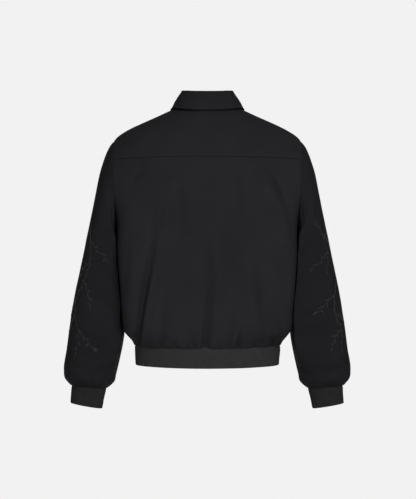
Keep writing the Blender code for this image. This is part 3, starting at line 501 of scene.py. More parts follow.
class JacketStage(bpy.types.PropertyGroup):
    """Camera, floor and light."""

    distance: length("Camera distance", "From the jacket's middle to the camera", 4.5)
    view_height: length("View height", "What the camera's frame covers at the jacket", 1.2475)
    eye: length("Eye", "Height of the camera", -0.342, low=-5.0)
    aside: length("Aside", "The camera's x", -0.0016, low=-5.0)
    floor: length("Floor", "Height of the floor", -1.5, low=-5.0)
    air: colour("Surroundings", "Colour of the studio's air", (0.887, 0.887, 0.887))


def mm(name):
    """A length from the settings of the cloth or of the trim, in millimetres."""
    scene = bpy.context.scene
    group = scene.jacket_trim if hasattr(scene.jacket_trim, name) else scene.jacket_cloth
    return getattr(group, name) / MM


# ---------------------------------------------------------------- numbers


def cubic(places, values, slopes, at):
    """Values at these places on Hermite's cubic through the given values and slopes."""
    spread = (..., *[None] * (values.ndim - 1))
    i = np.clip(np.searchsorted(places, at, side="right") - 1, 0, len(places) - 2)
    step = (places[i + 1] - places[i])[spread]
    t = (at - places[i])[spread] / step
    start = values[i] * (1 + 2 * t) + slopes[i] * step * t
    end = values[i + 1] * (3 - 2 * t) - slopes[i + 1] * step * (1 - t)
    return start * (1 - t) ** 2 + end * t**2


def smooth(rows, name, at):
    """One column's value at these places, on a cubic whose slopes come from the neighbours."""
    return cubic(rows["at"], rows[name], np.gradient(rows[name], rows["at"]), at)


def signed_power(values, power):
    """The power of each value's size, with its sign kept."""
    return np.sign(values) * np.abs(values) ** power


def unit(vectors):
    """The same directions, one long."""
    return vectors / np.maximum(np.linalg.norm(vectors, axis=-1, keepdims=True), 1e-9)


def ease(share):
    """From 0 to 1 with level ends: s^2 (3 - 2 s)."""
    share = np.clip(share, 0, 1)
    return share * share * (3 - 2 * share)


def bump(offset, width):
    """A soft mound, one high: exp of minus the square of offset over width."""
    return np.exp(-((offset / width) ** 2))


def unevenness(a, b, cell, seed, around=64):
    """Smooth random heights from -1 to 1: values on a lattice, blended with eased weights.

    Along a the lattice repeats after around cells, so that it closes on a tube.
    """
    lattice = np.random.default_rng(seed).uniform(-1, 1, (around, 64))
    a, b = np.broadcast_arrays(a / cell, b / cell)
    i, j = np.floor(a).astype(int), np.floor(b).astype(int)
    s, t = ease(a - i), ease(b - j)
    low = lattice[i % around, j % 64] * (1 - s) + lattice[(i + 1) % around, j % 64] * s
    high = lattice[i % around, (j + 1) % 64] * (1 - s) + lattice[(i + 1) % around, (j + 1) % 64] * s
    return low * (1 - t) + high * t


def walked(grid, axis):
    """Distance along each line of the grid from its first point."""
    step = np.linalg.norm(np.diff(grid, axis=axis), axis=-1)
    start = np.zeros_like(np.take(step, [0], axis))
    return np.concatenate([start, np.cumsum(step, axis=axis)], axis)


def wrapped(grid):
    """A closed grid with its first column once more at its end."""
    return np.concatenate([grid, grid[:, :1]], 1)


def read_along(line, far, places):
    """Vectors along a line, read at these distances from its start."""
    return np.stack([np.interp(places, far, line[:, k]) for k in range(3)], -1)


def from_edges(grid, closed=False):
    """Distances from a grid's edges: its first and last rows, and its left and right columns."""
    down, along = walked(grid, 0), walked(grid, 1)
    if closed:
        far = np.full(down.shape, 1e3)
        return {"first": down, "last": down[-1:] - down, "left": far, "right": far}
    return {"first": down, "last": down[-1:] - down, "left": along, "right": along[:, -1:] - along}


def nearest(edges, *names):
    """The distance from the nearest of these edges, or of all of them."""
    return np.minimum.reduce([edges[name] for name in names or edges])


def stations(start, end, spacing, rim=(0.15, 0.5)):
    """Places from start to end at an even spacing, with more of them close to both ends."""
    size = abs(end - start)
    even = np.linspace(0, size, max(2, round(size / spacing) + 1))
    more = np.concatenate([even, rim, size - np.array(rim)])
    return start + math.copysign(1, end - start) * np.unique(np.round(more, 4))


# ---------------------------------------------------------------- the torso's form


def row_end(side, height):
    """The x where a level row ends, and how far before or behind the side line it ends.

    The angle round the armhole is 0 at its top and pi at its foot.
    """
    middle, half = (ARMHOLE_TOP + ARMHOLE_BOTTOM) / 2, (ARMHOLE_TOP - ARMHOLE_BOTTOM) / 2
    turn = np.arccos(np.clip((height - middle) / half, -1, 1))
    reach = np.sin(turn)
    down = (ARMHOLE_TOP - height) / (ARMHOLE_TOP - ARMHOLE_BOTTOM)
    lean = np.where(side > 0, ARMHOLE_BACK_LEAN, -ARMHOLE_FRONT_LEAN)
    on_armhole = ARMHOLE_TOP_X + (ARMHOLE_BOTTOM_X - ARMHOLE_TOP_X) * down + lean * reach**3
    on_side = smooth(SIDE, "x", np.minimum(height, ARMHOLE_BOTTOM))
    on_ridge = smooth(RIDGE, "x", np.maximum(height, ARMHOLE_TOP))
    x = np.where(height < ARMHOLE_BOTTOM, on_side, on_armhole)
    x = np.where(height > ARMHOLE_TOP, on_ridge, x)
    return x, ARMHOLE_DEPTH * reach ** (1.25 - 0.25 * np.cos(turn))


def at_side(name, side, height):
    """A column that the torso has for its back (side 1) and for its front (side -1)."""
    back, front = (smooth(TORSO, f"{half}_{name}", height) for half in ("back", "front"))
    return np.where(side > 0, back, front)


def section(side, height):
    """A level section of the torso: squareness, side line, depth, half width and end angle."""
    power = at_side("squareness", side, height)
    side_y = smooth(TORSO, "side_y", height)
    depth = np.abs(at_side("y", side, height) - side_y)
    end_x, end_y = row_end(side, height)
    share = (end_y / depth) ** power
    return power, side_y, depth, end_x / (1 - share) ** (1 / power), np.arcsin(np.sqrt(share))


def fold_depth(folds, side, x, z):
    """How far the folds move the cloth outwards: a trough, exp(-o^2), with a roll beside it."""
    moved = np.zeros(np.broadcast(x, z).shape)
    for i in range(len(folds["side"])):
        f = row_of(folds, i)
        down = np.clip((z - f["top_z"]) / (f["foot_z"] - f["top_z"]), 0, 1)
        path = f["top_x"] + (f["foot_x"] - f["top_x"]) * down + f["bow"] * 4 * down * (1 - down)
        swell = np.sin(math.pi * down ** (math.log(0.5) / math.log(f["peak"])))
        off = (x - path) / f["width"]
        roll = abs(f["ridge"]) * bump(off - 1.7 * math.copysign(1, f["ridge"]), 1)
        moved += np.where(side == f["side"], swell * f["depth"] * (roll - bump(off, 1)), 0)
    return moved


def hung(points):
    """The points near the hem, lifted by the square of x, so that it hangs lowest at its middle."""
    share = np.abs(points[..., 0]) / SIDE["x"][0]
    near_hem = np.clip((HEM_RISE_TOP - points[..., 2]) / (HEM_RISE_TOP - HEM_SEAM), 0, 1)
    return points + (HEM_RISE * share**2 * near_hem)[..., None] * np.array([0, 0, 1.0])


def torso(side, across, height):
    """Points and outward normals. across is 0 at the middle and 1 or -1 where the row ends.

    A level section is a superellipse, |x/a|^n + |y/b|^n = 1, walked by its angle. The normal is
    its gradient in space, tilted by the slope of the folds.
    """
    side, across, height = np.broadcast_arrays(side, across, height)
    power, side_y, depth, half_width, end = section(side, height)
    angle = math.pi / 2 - (math.pi / 2 - end) * np.abs(across) ** (power / 2)
    x = np.sign(across) * half_width * np.clip(np.cos(angle), 0, 1) ** (2 / power)
    y = side_y + side * depth * np.sin(angle) ** (2 / power)
    points = np.stack([x, y, height], -1)
    normals = torso_normal(side, points)
    moved = fold_depth(TORSO_FOLDS, side, x, height)
    slope_x = fold_depth(TORSO_FOLDS, side, x + 1, height) - moved
    slope_z = fold_depth(TORSO_FOLDS, side, x, height + 1) - moved
    slope = np.stack([slope_x, np.zeros_like(slope_x), slope_z], -1)
    slope -= normals * np.sum(slope * normals, -1, keepdims=True)
    return hung(points + normals * moved[..., None]), unit(normals - slope)


def torso_normal(side, points):
    """The gradient of the section's equation at points of the torso."""

    def value(height):
        power, side_y, depth, half_width, _ = section(side, height)
        return (np.abs(x) / half_width) ** power + (np.abs(y - side_y) / depth) ** power

    x, y, z = np.moveaxis(points, -1, 0)
    power, side_y, depth, half_width, _ = section(side, z)
    by_x = power * np.sign(x) * np.abs(x) ** (power - 1) / half_width**power
    by_y = power * side * np.abs(y - side_y) ** (power - 1) / depth**power
    return unit(np.stack([by_x, by_y, value(z + 0.5) - value(z - 0.5)], -1))


def across_at(side, x, height):
    """The place across a row where it passes this x."""
    power, _, _, half_width, end = section(side, height)
    angle = np.arccos(np.clip(np.abs(x) / half_width, 0, 1) ** (power / 2))
    share = np.clip((math.pi / 2 - angle) / (math.pi / 2 - end), 0, 1)
    return np.sign(x) * share ** (2 / power)


def ring_turns(count=RING_POINTS):
    """Even steps round a ring."""
    return np.arange(count) * 2 * math.pi / count


def armhole_heights(turns):
    """The height of the armhole at these turns of the sleeve, which crowd towards its foot."""
    middle = (ARMHOLE_TOP + ARMHOLE_BOTTOM) / 2
    return middle + (ARMHOLE_TOP - middle) * np.cos(turns + SLEEVE["slide"][0] * np.sin(turns))


def armhole_row_heights():
    """The heights of the torso's rows beside the armhole, from its foot up to its top."""
    return armhole_heights(ring_turns())[: RING_POINTS // 2 + 1][::-1]


# ---------------------------------------------------------------- the sleeve's form


def ring(rows, i, turns):
    """One ring: a superellipse between its outermost and innermost points."""
    r = row_of(rows, i)
    turned = turns + r["slide"] * np.sin(turns)
    power = 2 / (r["squareness"] + r["press"] * bump(turns - PRESSED_TURN, PRESSED_WIDTH))
    cosine, sine = signed_power(np.cos(turned), power), signed_power(np.sin(turned), power)
    outer = np.array([r["outer_x"], r["mid_y"], r["outer_z"]])
    inner = np.array([r["inner_x"], r["mid_y"], r["inner_z"]])
    outwards = r["lean"] * sine + r["tuck"] * np.minimum(sine, 0)
    sideways = np.stack([outwards, r["depth"] * sine, np.zeros_like(sine)], -1)
    return (outer + inner) / 2 + cosine[:, None] * (outer - inner) / 2 + sideways


def tube_normals(grid):
    """Outward normals of a closed tube, rows down it and columns round it."""
    round_it = np.roll(grid, -1, 1) - np.roll(grid, 1, 1)
    normals = unit(np.cross(round_it, np.gradient(grid, axis=0)))
    return normals * np.sign(np.sum(normals * (grid - grid.mean(1, keepdims=True))))


def sheet_normals(grid, towards):
    """Normals of an open grid, turned to agree with the given directions."""
    normals = unit(np.cross(np.gradient(grid, axis=1), np.gradient(grid, axis=0)))
    return normals * np.sign(np.sum(normals * towards))


def sleeve_fold_depth(folds, hand, turns, at):
    """How far the folds move the sleeve's cloth outwards, at turns across and places down."""
    share = (turns / (2 * math.pi))[None, :]
    moved = np.zeros((len(at), len(turns)))
    for i in np.flatnonzero(folds["hand"] == hand):
        f = row_of(folds, i)
        along = (share - f["turn_a"]) / (f["turn_b"] - f["turn_a"])
        off = (at[:, None] - f["at_a"] - (f["at_b"] - f["at_a"]) * along) / f["width"]
        swell = np.sin(math.pi * np.clip(along, 0, 1))
        moved += swell * f["depth"] * (0.5 * bump(off - 1.6, 1) - bump(off, 1))
    return moved


def sleeve(hand, turns, at):
    """Points and normals of one sleeve, for a grid of turns and distances down it.

    Its first ring is the armhole, back half first. There the cloth leaves in the torso's own
    plane over the shoulder, and drops away from it, in a valley, under the arm.
    """
    armhole, normals = torso(np.where(turns <= math.pi, 1.0, -1.0), 1.0, armhole_heights(turns))
    places = SLEEVE["at"]
    rings = np.array([armhole] + [ring(SLEEVE, i, turns) for i in range(1, len(places))])
    over_shoulder = np.clip((np.cos(turns) + 0.9) / 1.2, 0, 1)[:, None]
    leave = (rings[1] - armhole) / (places[1] - places[0])
    leave -= normals * np.sum(leave * normals, -1, keepdims=True) * over_shoulder
    slopes = np.gradient(rings, places, axis=0)
    slopes[0] = leave
    grid = cubic(places, rings, slopes, at)
    grid += tube_normals(grid) * sleeve_fold_depth(SLEEVE_FOLDS, hand, turns, at)[..., None]
    outwards = tube_normals(grid)
    outwards[0] = unit(outwards[0] + (normals - outwards[0]) * over_shoulder)
    return grid * (hand, 1, 1), outwards * (hand, 1, 1)


# ---------------------------------------------------------------- making meshes


def add_mesh(name, points, quads, material, uv=None, uv_quads=None, ridge=None):
    """A named object from points in millimetres and four-sided faces, by whole arrays."""
    mesh = bpy.data.meshes.new(name)
    mesh.vertices.add(len(points))
    mesh.vertices.foreach_set("co", (points * MM).astype(np.float32).ravel())
    mesh.loops.add(quads.size)
    mesh.loops.foreach_set("vertex_index", quads.astype(np.int32).ravel())
    mesh.polygons.add(len(quads))
    mesh.polygons.foreach_set("loop_start", np.arange(0, quads.size, 4, dtype=np.int32))
    mesh.polygons.foreach_set("use_smooth", np.ones(len(quads), bool))
    if uv is not None:
        corners = quads if uv_quads is None else uv_quads
        layer = mesh.uv_layers.new(name="cloth")
        layer.data.foreach_set("uv", (uv * MM)[corners.ravel()].astype(np.float32).ravel())
    # The ridge values, which the finishes paint as highlight on ridges and shade in troughs and
    # seams.
    if ridge is not None:
        kept = mesh.attributes.new("ridge", "FLOAT", "POINT")
        kept.data.foreach_set("value", ridge.astype(np.float32).ravel())
    mesh.update(calc_edges=True)
    mesh.validate()
    mesh.materials.append(material)
    obj = bpy.data.objects.new(name, mesh)
    bpy.context.scene.collection.objects.link(obj)
    return obj


def dress(obj, slot, *nodes):
    """The piece rides on the jacket and stands for its CAD nodes, which it hides. The slot is not
    used.
    """
    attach(obj, "jacket")
    if nodes:
        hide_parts(*nodes)
    return obj


def grid_quads(index):
    """The four-sided faces between neighbouring entries of a grid of point numbers."""
    corners = [index[:-1, :-1], index[:-1, 1:], index[1:, 1:], index[1:, :-1]]
    return np.stack(corners, -1).reshape(-1, 4)


def wall_quads(index, closed=False):
    """The faces of a wall: its outer grid, its inner grid turned round, and its rims."""
    faces = [grid_quads(index[0]), grid_quads(index[1])[:, ::-1]]
    rims = [(index[0, 0], index[1, 0]), (index[1, -1], index[0, -1])]
    if not closed:
        rims += [(index[1, :, 0], index[0, :, 0]), (index[0, :, -1], index[1, :, -1])]
    faces += [np.stack([near[:-1], far[:-1], far[1:], near[1:]], -1) for near, far in rims]
    return np.concatenate(faces)


def rod_quads(rows, sides):
    """The faces of a rod of rings with these many sides, closed at both ends."""
    index = np.arange(rows * sides).reshape(rows, sides)
    fan = [(0, k, k + 1, k + 2) for k in range(1, sides - 2, 2)]
    return np.concatenate([grid_quads(wrapped(index)), index[0][fan][:, ::-1], index[-1][fan]])


def joined(parts):
    """Several shapes as one: their points, their renumbered faces, and their maps, if any."""
    starts = np.cumsum([0] + [len(part[0]) for part in parts])
    quads = np.concatenate([part[1] + start for part, start in zip(parts, starts)])
    fields = zip(*[(part[0], *part[2:]) for part in parts])
    points, *maps = (np.concatenate(field) for field in fields)
    return points, quads, *maps


def repeated(template, quads, middles, axes):
    """Copies of one small shape: its points carried into each place's three directions."""
    points = middles[:, None] + np.einsum("pk,nkc->npc", template, axes)
    shifted = quads[None] + (np.arange(len(middles)) * len(template))[:, None, None]
    return points.reshape(-1, 3), shifted.reshape(-1, 4)


def outwards_turned(points, quads):
    """The faces, with each closed shell turned so that its volume is positive."""
    mesh = bpy.data.meshes.new("turning")
    mesh.from_pydata(points.tolist(), [], quads.tolist())
    shape = bmesh.new()
    shape.from_mesh(mesh)
    bmesh.ops.recalc_face_normals(shape, faces=shape.faces)
    shape.faces.ensure_lookup_table()
    faces = np.array([[v.index for v in face.verts] for face in shape.faces])
    shape.free()
    bpy.data.meshes.remove(mesh)
    return faces


def add_wall(node, face, thickness, material, slot="twill", kind="cloth", closed=False):
    """A wall between a face and the same face moved inwards, in place of a CAD node.

    Within half a thickness of an open edge both sides draw in to the wall's middle, on a
    quarter circle. The UV map holds the distances walked round and down the piece.
    """
    outer, normals = face.outer, face.normals
    rows, columns = outer.shape[:2]
    share = np.clip(nearest(from_edges(outer, closed)) / (thickness / 2), 0, 1)
    half = normals * thickness / 2 * (0.3 + 0.7 * np.sqrt(1 - (1 - share) ** 2))[..., None]
    middle = outer - normals * thickness / 2
    inside = middle - half
    if face.inner is not None:
        inside = inside + normals * face.inner[..., None]
    wide = wrapped(outer) if closed else outer
    along = walked(wide, 1)
    if not closed:
        along = along - along[:, columns // 2, None]
    uv = np.stack([along, -walked(wide, 0)], -1).reshape(-1, 2)
    index = np.arange(2 * rows * columns).reshape(2, rows, columns)
    if closed:
        index = np.concatenate([index, index[..., :1]], 2)
    quads = wall_quads(index, closed)
    uv_quads = wall_quads(np.arange(index.size).reshape(index.shape), closed)
    turned = np.cross(outer[0, 1] - outer[0, 0], outer[1, 0] - outer[0, 0])
    if np.sum(turned * normals[0, 0]) > 0:
        quads, uv_quads = quads[:, ::-1], uv_quads[:, ::-1]
    points = np.concatenate([(middle + half).reshape(-1, 3), inside.reshape(-1, 3)])
    ridge = np.zeros((rows, columns)) if face.ridge is None else face.ridge
    ridge = np.concatenate([ridge.ravel(), ridge.ravel()])
    name = f"{node}_{kind}"
    obj = add_mesh(name, points, quads, material, np.concatenate([uv, uv]), uv_quads, ridge)
    return dress(obj, slot, node)


# ---------------------------------------------------------------- finishes


class Nodes:
    """Short ways to add and join the nodes of one tree."""

    def __init__(self, tree):
        self.tree = tree

    def give(self, node, values):
        """The node, with its inputs set or linked in order or by name."""
        for key, value in values.items() if isinstance(values, dict) else enumerate(values):
            if isinstance(value, bpy.types.NodeSocket):
                self.tree.links.new(value, node.inputs[key])
            elif value is not None:
                node.inputs[key].default_value = value
        return node

    def add(self, kind, values=(), **settings):
        """One node, with its settings and its inputs."""
        node = self.tree.nodes.new(kind)
        for name, value in settings.items():
            setattr(node, name, value)
        return self.give(node, values)

    def math(self, operation, *values):
        """The result of one sum on numbers or sockets."""
        return self.add("ShaderNodeMath", values, operation=operation).outputs[0]

    def noise(self, vector, scale, detail):
        """Soft noise from 0 to 1."""
        values = {"Vector": vector, "Scale": scale, "Detail": detail}
        return self.add("ShaderNodeTexNoise", values).outputs[0]

    def waves(self, place, pitch):
        """A sine that repeats at a pitch."""
        turning = self.math("DIVIDE", 2 * math.pi, pitch)
        return self.math("SINE", self.math("MULTIPLY", place, turning))

    def split(self, vector):
        """The three numbers of a vector."""
        return self.add("ShaderNodeSeparateXYZ", [vector]).outputs

    def relief(self, height, strength, depth):
        """The normal of a bumpy surface."""
        values = {"Height": height, "Strength": strength, "Distance": depth}
        return self.add("ShaderNodeBump", values).outputs[0]


def cloth_tone(n, vector, patch, thread):
    """Uneven dye: broad soft patches and single threads, as a share from 0 to 1."""
    broad, fine = n.noise(vector, patch, 3.0), n.noise(vector, thread, 1.0)
    tone = n.math("MULTIPLY_ADD", fine, 0.45, n.math("MULTIPLY", broad, 0.75))
    return n.math("SUBTRACT", tone, 0.1)


def twill_weave(n, vector, pitch, slant):
    """Diagonal wales across fine threads, as a height from 0 to 1."""
    x, y, _ = n.split(vector)
    wale = n.waves(n.math("MULTIPLY_ADD", x, slant, y), pitch)
    weft = n.waves(y, n.math("DIVIDE", pitch, 2.4))
    sway = n.math("MULTIPLY", n.noise(vector, 700.0, 1.0), 0.9)
    return n.math("ADD", n.math("MULTIPLY_ADD", weft, 0.15, n.math("MULTIPLY", wale, 0.32)), sway)


def knit_rows(n, vector, row, rib):
    """The rows of a knit: slanted stitches that point down each rib, as a height from 0 to 1."""
    x, y, _ = n.split(vector)
    half = n.math("PINGPONG", x, n.math("MULTIPLY", rib, 0.5))
    rows = n.waves(n.math("ADD", y, n.math("MULTIPLY", half, 0.8)), row)
    return n.math("MULTIPLY_ADD", rows, 0.35, n.noise(vector, 1100.0, 2.0))


def satin_rows(n, vector, pitch):
    """Threads that lie side by side across the UV map's first direction, as a height."""
    return n.waves(n.split(vector)[0], pitch)


EFFECTS = {
    "cloth_tone": (cloth_tone, {"Patch": 9.0, "Thread": 900.0}),
    "twill_weave": (twill_weave, {"Pitch": 0.0011, "Slant": 1.6}),
    "knit_rows": (knit_rows, {"Row": 0.0016, "Rib": 0.0032}),
    "satin_rows": (satin_rows, {"Pitch": 0.0006}),
}


def effect(name):
    """A shader node group that works out one value from a place and named numbers."""
    if name in bpy.data.node_groups:
        return bpy.data.node_groups[name]
    build, numbers = EFFECTS[name]
    group = bpy.data.node_groups.new(name, "ShaderNodeTree")
    group.interface.new_socket("Vector", in_out="INPUT", socket_type="NodeSocketVector")
    for label, value in numbers.items():
        socket = group.interface.new_socket(label, in_out="INPUT", socket_type="NodeSocketFloat")
        socket.default_value = value
    group.interface.new_socket("Value", in_out="OUTPUT", socket_type="NodeSocketFloat")
    n = Nodes(group)
    given = n.add("NodeGroupInput").outputs[: len(numbers) + 1]
    n.add("NodeGroupOutput", [build(n, *given)])
    return group


def new_material(name):
    """A material of this name, its nodes, which are None if it was there, and its shader."""
    found = bpy.data.materials.get(name)
    if found:
        return found, None, None
    made = bpy.data.materials.new(name)
    made.use_nodes = True
    return made, Nodes(made.node_tree), made.node_tree.nodes["Principled BSDF"]


def finish(name):
    """A cloth: two tones mixed by its dye and by painted highlight on its ridges and painted shade
    in its troughs and seams, and its threads as a bump.
    """
    made, n, shader = new_material(name)
    if n is None:
        return made
    f, c = FINISHES[name], bpy.context.scene.jacket_colours
    # Sleeves, collar and cuffs are darkened by a factor, as painted shade.
    grain = getattr(c, f.grain) if f.grain else 1.0
    tones = [
        (*[share * grain * v for v in getattr(c, tone)], 1) for tone, share in (f.dark, f.light)
    ]
    place = n.add("ShaderNodeUVMap", uv_map="cloth").outputs[0]
    dye = {"Vector": place, "Patch": f.patch}
    tone = n.add("ShaderNodeGroup", dye, node_tree=effect("cloth_tone")).outputs[0]
    weave = {"Vector": place, "Pitch": f.pitch}
    threads = n.add("ShaderNodeGroup", weave, node_tree=effect(f.pattern)).outputs[0]
    # Painted highlight on ridges and painted shade in troughs and seams, from each point's ridge
    # value.
    highlit = n.add("ShaderNodeAttribute", attribute_name="ridge").outputs["Fac"]
    share = n.math("MULTIPLY_ADD", tone, 0.7, n.math("MULTIPLY", highlit, 0.5))
    share = n.math("MULTIPLY_ADD", threads, 0.22, n.math("SUBTRACT", share, 0.1))
    blend = n.add("ShaderNodeMix", [share], data_type="RGBA", clamp_factor=True)
    ends = [socket for socket in blend.inputs if socket.type == "RGBA"]
    for socket, value in zip(ends, tones):
        socket.default_value = value
    looks = {
        "Base Color": next(socket for socket in blend.outputs if socket.type == "RGBA"),
        "Roughness": n.math("MULTIPLY_ADD", tone, 0.12, f.roughness - 0.06),
        "Normal": n.relief(threads, 0.5, f.depth),
        "Specular IOR Level": f.gloss,
    }
    n.give(shader, looks)
    return made


def zip_metal():
    """Dark nickel: even, with fine scratches and cloudy tarnish."""
    made, n, shader = new_material("dark_nickel")
    if n is None:
        return made
    place = n.add("ShaderNodeTexCoord").outputs["Object"]
    cloud = n.noise(place, 160.0, 4.0)
    ramp = n.add("ShaderNodeValToRGB", [cloud])
    for stop, position, share in zip(ramp.color_ramp.elements, (0.3, 0.75), (0.8, 1.9)):
        stop.position = position
        stop.color = (*[share * value for value in bpy.context.scene.jacket_colours.metal], 1)
    looks = {
        "Base Color": ramp.outputs[0],
        "Roughness": n.math("MULTIPLY_ADD", cloud, 0.25, 0.24),
        "Normal": n.relief(n.noise(place, 2600.0, 2.0), 0.2, 0.0001),
        "Metallic": 1.0,
    }
    n.give(shader, looks)
    return made


# ---------------------------------------------------------------- seams and creases


def dip(distance, depth, width=2.2):
    """The valley a seam draws in the cloth: depth times exp of minus distance squared."""
    return -depth * bump(distance, width)


def turned_in(distance):
    """Where an allowance lies under an edge: 1 there, and 0 from its topstitching on."""
    return 1 - ease((distance - mm("stitch_inset") + 0.8) / 1.6)


def stitched_edge(distance, height, groove):
    """An edge that stands out over its allowance, and the groove of its topstitching."""
    return height * turned_in(distance) + dip(distance - mm("stitch_inset"), groove, 1.0)


def gathers(along, above, reach, seed):
    """Puckers that leave a seam: soft troughs, 11 to 27 mm apart, which fade as they rise.

    Each is a trough of exp(-o^2) across the seam. It is held back to 0.6 of its depth on the
    seam, is whole from 6 mm above it, and falls off by exp(-d / fade).
    """
    chance = np.random.default_rng(seed)
    start, end = float(np.min(along)), float(np.max(along))
    places = start + np.cumsum(chance.uniform(11, 27, int((end - start) / 15)))
    moved = np.zeros(np.broadcast(along, above).shape)
    for place in places[places < end]:
        size, lean = chance.uniform(0.35, 1.2), chance.uniform(-0.22, 0.22)
        width, fade = chance.uniform(3.5, 5.8), chance.uniform(0.5, 1.3) * reach
        off = along - place - lean * above
        moved -= size * bump(off, width + 0.08 * above) * np.exp(-above / fade)
    return (moved + 0.25) * (0.6 + 0.4 * ease(above / 6)) * np.exp(-above / (4 * reach))


def torso_height(side, grid, edges, seed):
    """Creases, gathers above the hem and unevenness over one piece of the torso.

    Creases fade within 16 mm of the side edges, and unevenly sewn cloth calms down at the hem.
    """
    x, above = grid[..., 0], grid[..., 2] - HEM_SEAM
    clear = ease(nearest(edges, "left", "right") / 16)
    creases = fold_depth(TORSO_CREASES, side, x, grid[..., 2])
    creases = creases * bpy.context.scene.jacket_cloth.crease
    over, up = x + 400, grid[..., 2] + 900
    uneven = sum(size * unevenness(over, up, cell, layer) for size, cell, layer in TORSO_UNEVEN)
    along = walked(grid, 1)[0]
    along = along - along[len(along) // 2]
    puckers = gathers(along, above, GATHER_REACH, seed) * mm("gather")
    puckers = np.where(above < GATHERED, puckers, 0)
    sewn = 0.25 + 0.75 * ease(above / 8)
    return (creases + uneven) * clear * sewn + puckers * ease((clear + 0.15) / 0.6)


def shaped(grid, normals, moved, inner=None):
    """A face: the grid moved along its normals, and ridge values of 0.5 plus a quarter of the
    height, which paint highlight on ridges and shade in troughs and seams.
    """
    return Face(grid + normals * moved[..., None], normals, np.clip(0.5 + moved / 4, 0, 1), inner)


# ---------------------------------------------------------------- back, yoke and fronts


def lower_rows():
    """Row heights from the hem seam to below the armhole's foot, closer together near the hem."""
    low = stations(HEM_SEAM, CROWDED_BELOW, mm("spacing") * 0.72)
    high = stations(CROWDED_BELOW, ARMHOLE_BOTTOM, mm("spacing") * 1.1, rim=())
    return np.concatenate([low[:-1], high[:-2]])


def back_cloth():
    """The back below the yoke, from the hem seam to the yoke seam, which bows up by 1 - x^2."""
    seam = mm("seam")
    beside = armhole_row_heights()[: RING_POINTS // 2 + 1 - YOKE_END_POINT]
    ends = np.concatenate([lower_rows(), beside])
    ends = np.union1d(ends, beside[-1] - np.array(BELOW_YOKE_SEAM))
    across = stations(-BACK_HALF, BACK_HALF, mm("spacing")) / BACK_HALF
    rise = ((ends - HEM_SEAM) / (ends[-1] - HEM_SEAM)) ** 2
    height = ends[:, None] + YOKE_RISE * (1 - across**2) * rise[:, None]
    grid, normals = torso(1.0, across, height)
    edges = from_edges(grid)
    moved = torso_height(1.0, grid, edges, 11) + dip(edges["last"], 1.5 * seam, 1.8)
    moved += (
        dip(edges["first"], 1.8 * seam, 4.0) + dip(edges["left"], seam) + dip(edges["right"], seam)
    )
    return shaped(grid, normals, moved)


@functools.cache
def yoke_cloth():
    """The yoke, from its seam over the shoulder blades up to the shoulder ridge and the neck.

    The allowance of its seam is pressed up under it, so the band between the seam and the
    topstitching stands out, and the wall is thicker there.
    """
    across = stations(-BACK_HALF, BACK_HALF, mm("spacing")) / BACK_HALF
    beside = armhole_row_heights()[RING_POINTS // 2 - YOKE_END_POINT :]
    ends = np.concatenate([beside, stations(ARMHOLE_TOP, NECK_POINT, SHOULDER_ROWS)[1:]])
    ends = np.union1d(ends, ends[0] + np.array(ABOVE_YOKE_SEAM))
    rise = YOKE_RISE + (NECK_BACK_RISE - YOKE_RISE) * (ends - ends[0]) / (ends[-1] - ends[0])
    grid, normals = torso(1.0, across, ends[:, None] + rise[:, None] * (1 - across**2))
    edges = from_edges(grid)
    moved = torso_height(1.0, grid, edges, 12) + stitched_edge(edges["first"], 0.5, 0.35)
    moved += sum(dip(edges[edge], mm("seam")) for edge in ("left", "right", "last"))
    return shaped(grid, normals, moved, -1.3 * turned_in(edges["first"]))


def front_neckline(share):
    """The x and height of the front neckline, from the zip (0) to the neck point (1)."""
    angle, power = share * math.pi / 2, 2 / NECK_SQUARENESS
    x = NECK_POINT_X * np.sin(angle) ** power
    return x, NECK_POINT - NECK_FRONT_DROP * np.clip(np.cos(angle), 0, 1) ** power


def front_grid(hand, share, ends):
    """One front: share is 0 at the zip and 1 at the side seam, armhole and shoulder.

    Its rows bow down to the neckline by the square of their height above the armhole's foot.
    """
    pull = np.clip((ends - ARMHOLE_BOTTOM) / (NECK_POINT - ARMHOLE_BOTTOM), 0, 1)[:, None] ** 2
    neck_x, neck_height = front_neckline(share)
    dropped = -NECK_FRONT_DROP * np.cos(share * math.pi / 2) ** 2
    height = ends[:, None] + pull * (dropped + (neck_height - NECK_POINT - dropped) * pull**3)
    at_zip = across_at(-1.0, ZIP_GAP, height)
    on_neck = across_at(-1.0, np.maximum(neck_x, ZIP_GAP), height[-1])
    spread = share + ((on_neck - on_neck[0]) / (1 - on_neck[0]) - share) * pull**3
    return torso(-1.0, hand * (at_zip + (1 - at_zip) * spread), height)


@functools.cache
def front_cloth(hand):
    """One front, from the zip to the side seam, armhole, shoulder and neck."""
    seam = mm("seam")
    shoulder = stations(ARMHOLE_TOP, NECK_POINT, SHOULDER_ROWS)[1:]
    share = stations(0, FRONT_HALF, mm("spacing"), rim=FRONT_RIM) / FRONT_HALF
    ends = np.concatenate([lower_rows(), armhole_row_heights(), shoulder])
    grid, normals = front_grid(hand, share, ends)
    edges = from_edges(grid)
    moved = torso_height(-1.0, grid, edges, 21 + hand) + stitched_edge(edges["left"], 0.6, 0.3)
    moved += (
        dip(edges["first"], 1.2 * seam, 4.0) + dip(edges["right"], seam) + dip(edges["last"], seam)
    )
    return shaped(grid, normals, moved)


# ---------------------------------------------------------------- sleeves, cuffs and hem


def round_off(share, place):
    """How far turns are from a place on a ring, the shorter way round, as a share of a turn."""
    return (share - place + 0.5) % 1 - 0.5


def sleeve_rows():
    """Distances down the sleeve, closer together towards the cuff."""
    low = stations(CROWDED_BEYOND, SLEEVE_LENGTH, mm("spacing") * 0.7)
    at = np.union1d(stations(0, CROWDED_BEYOND, mm("spacing") * 1.05), low[:-1])
    return np.append(at[at < SLEEVE_LENGTH - 0.01], SLEEVE_LENGTH)


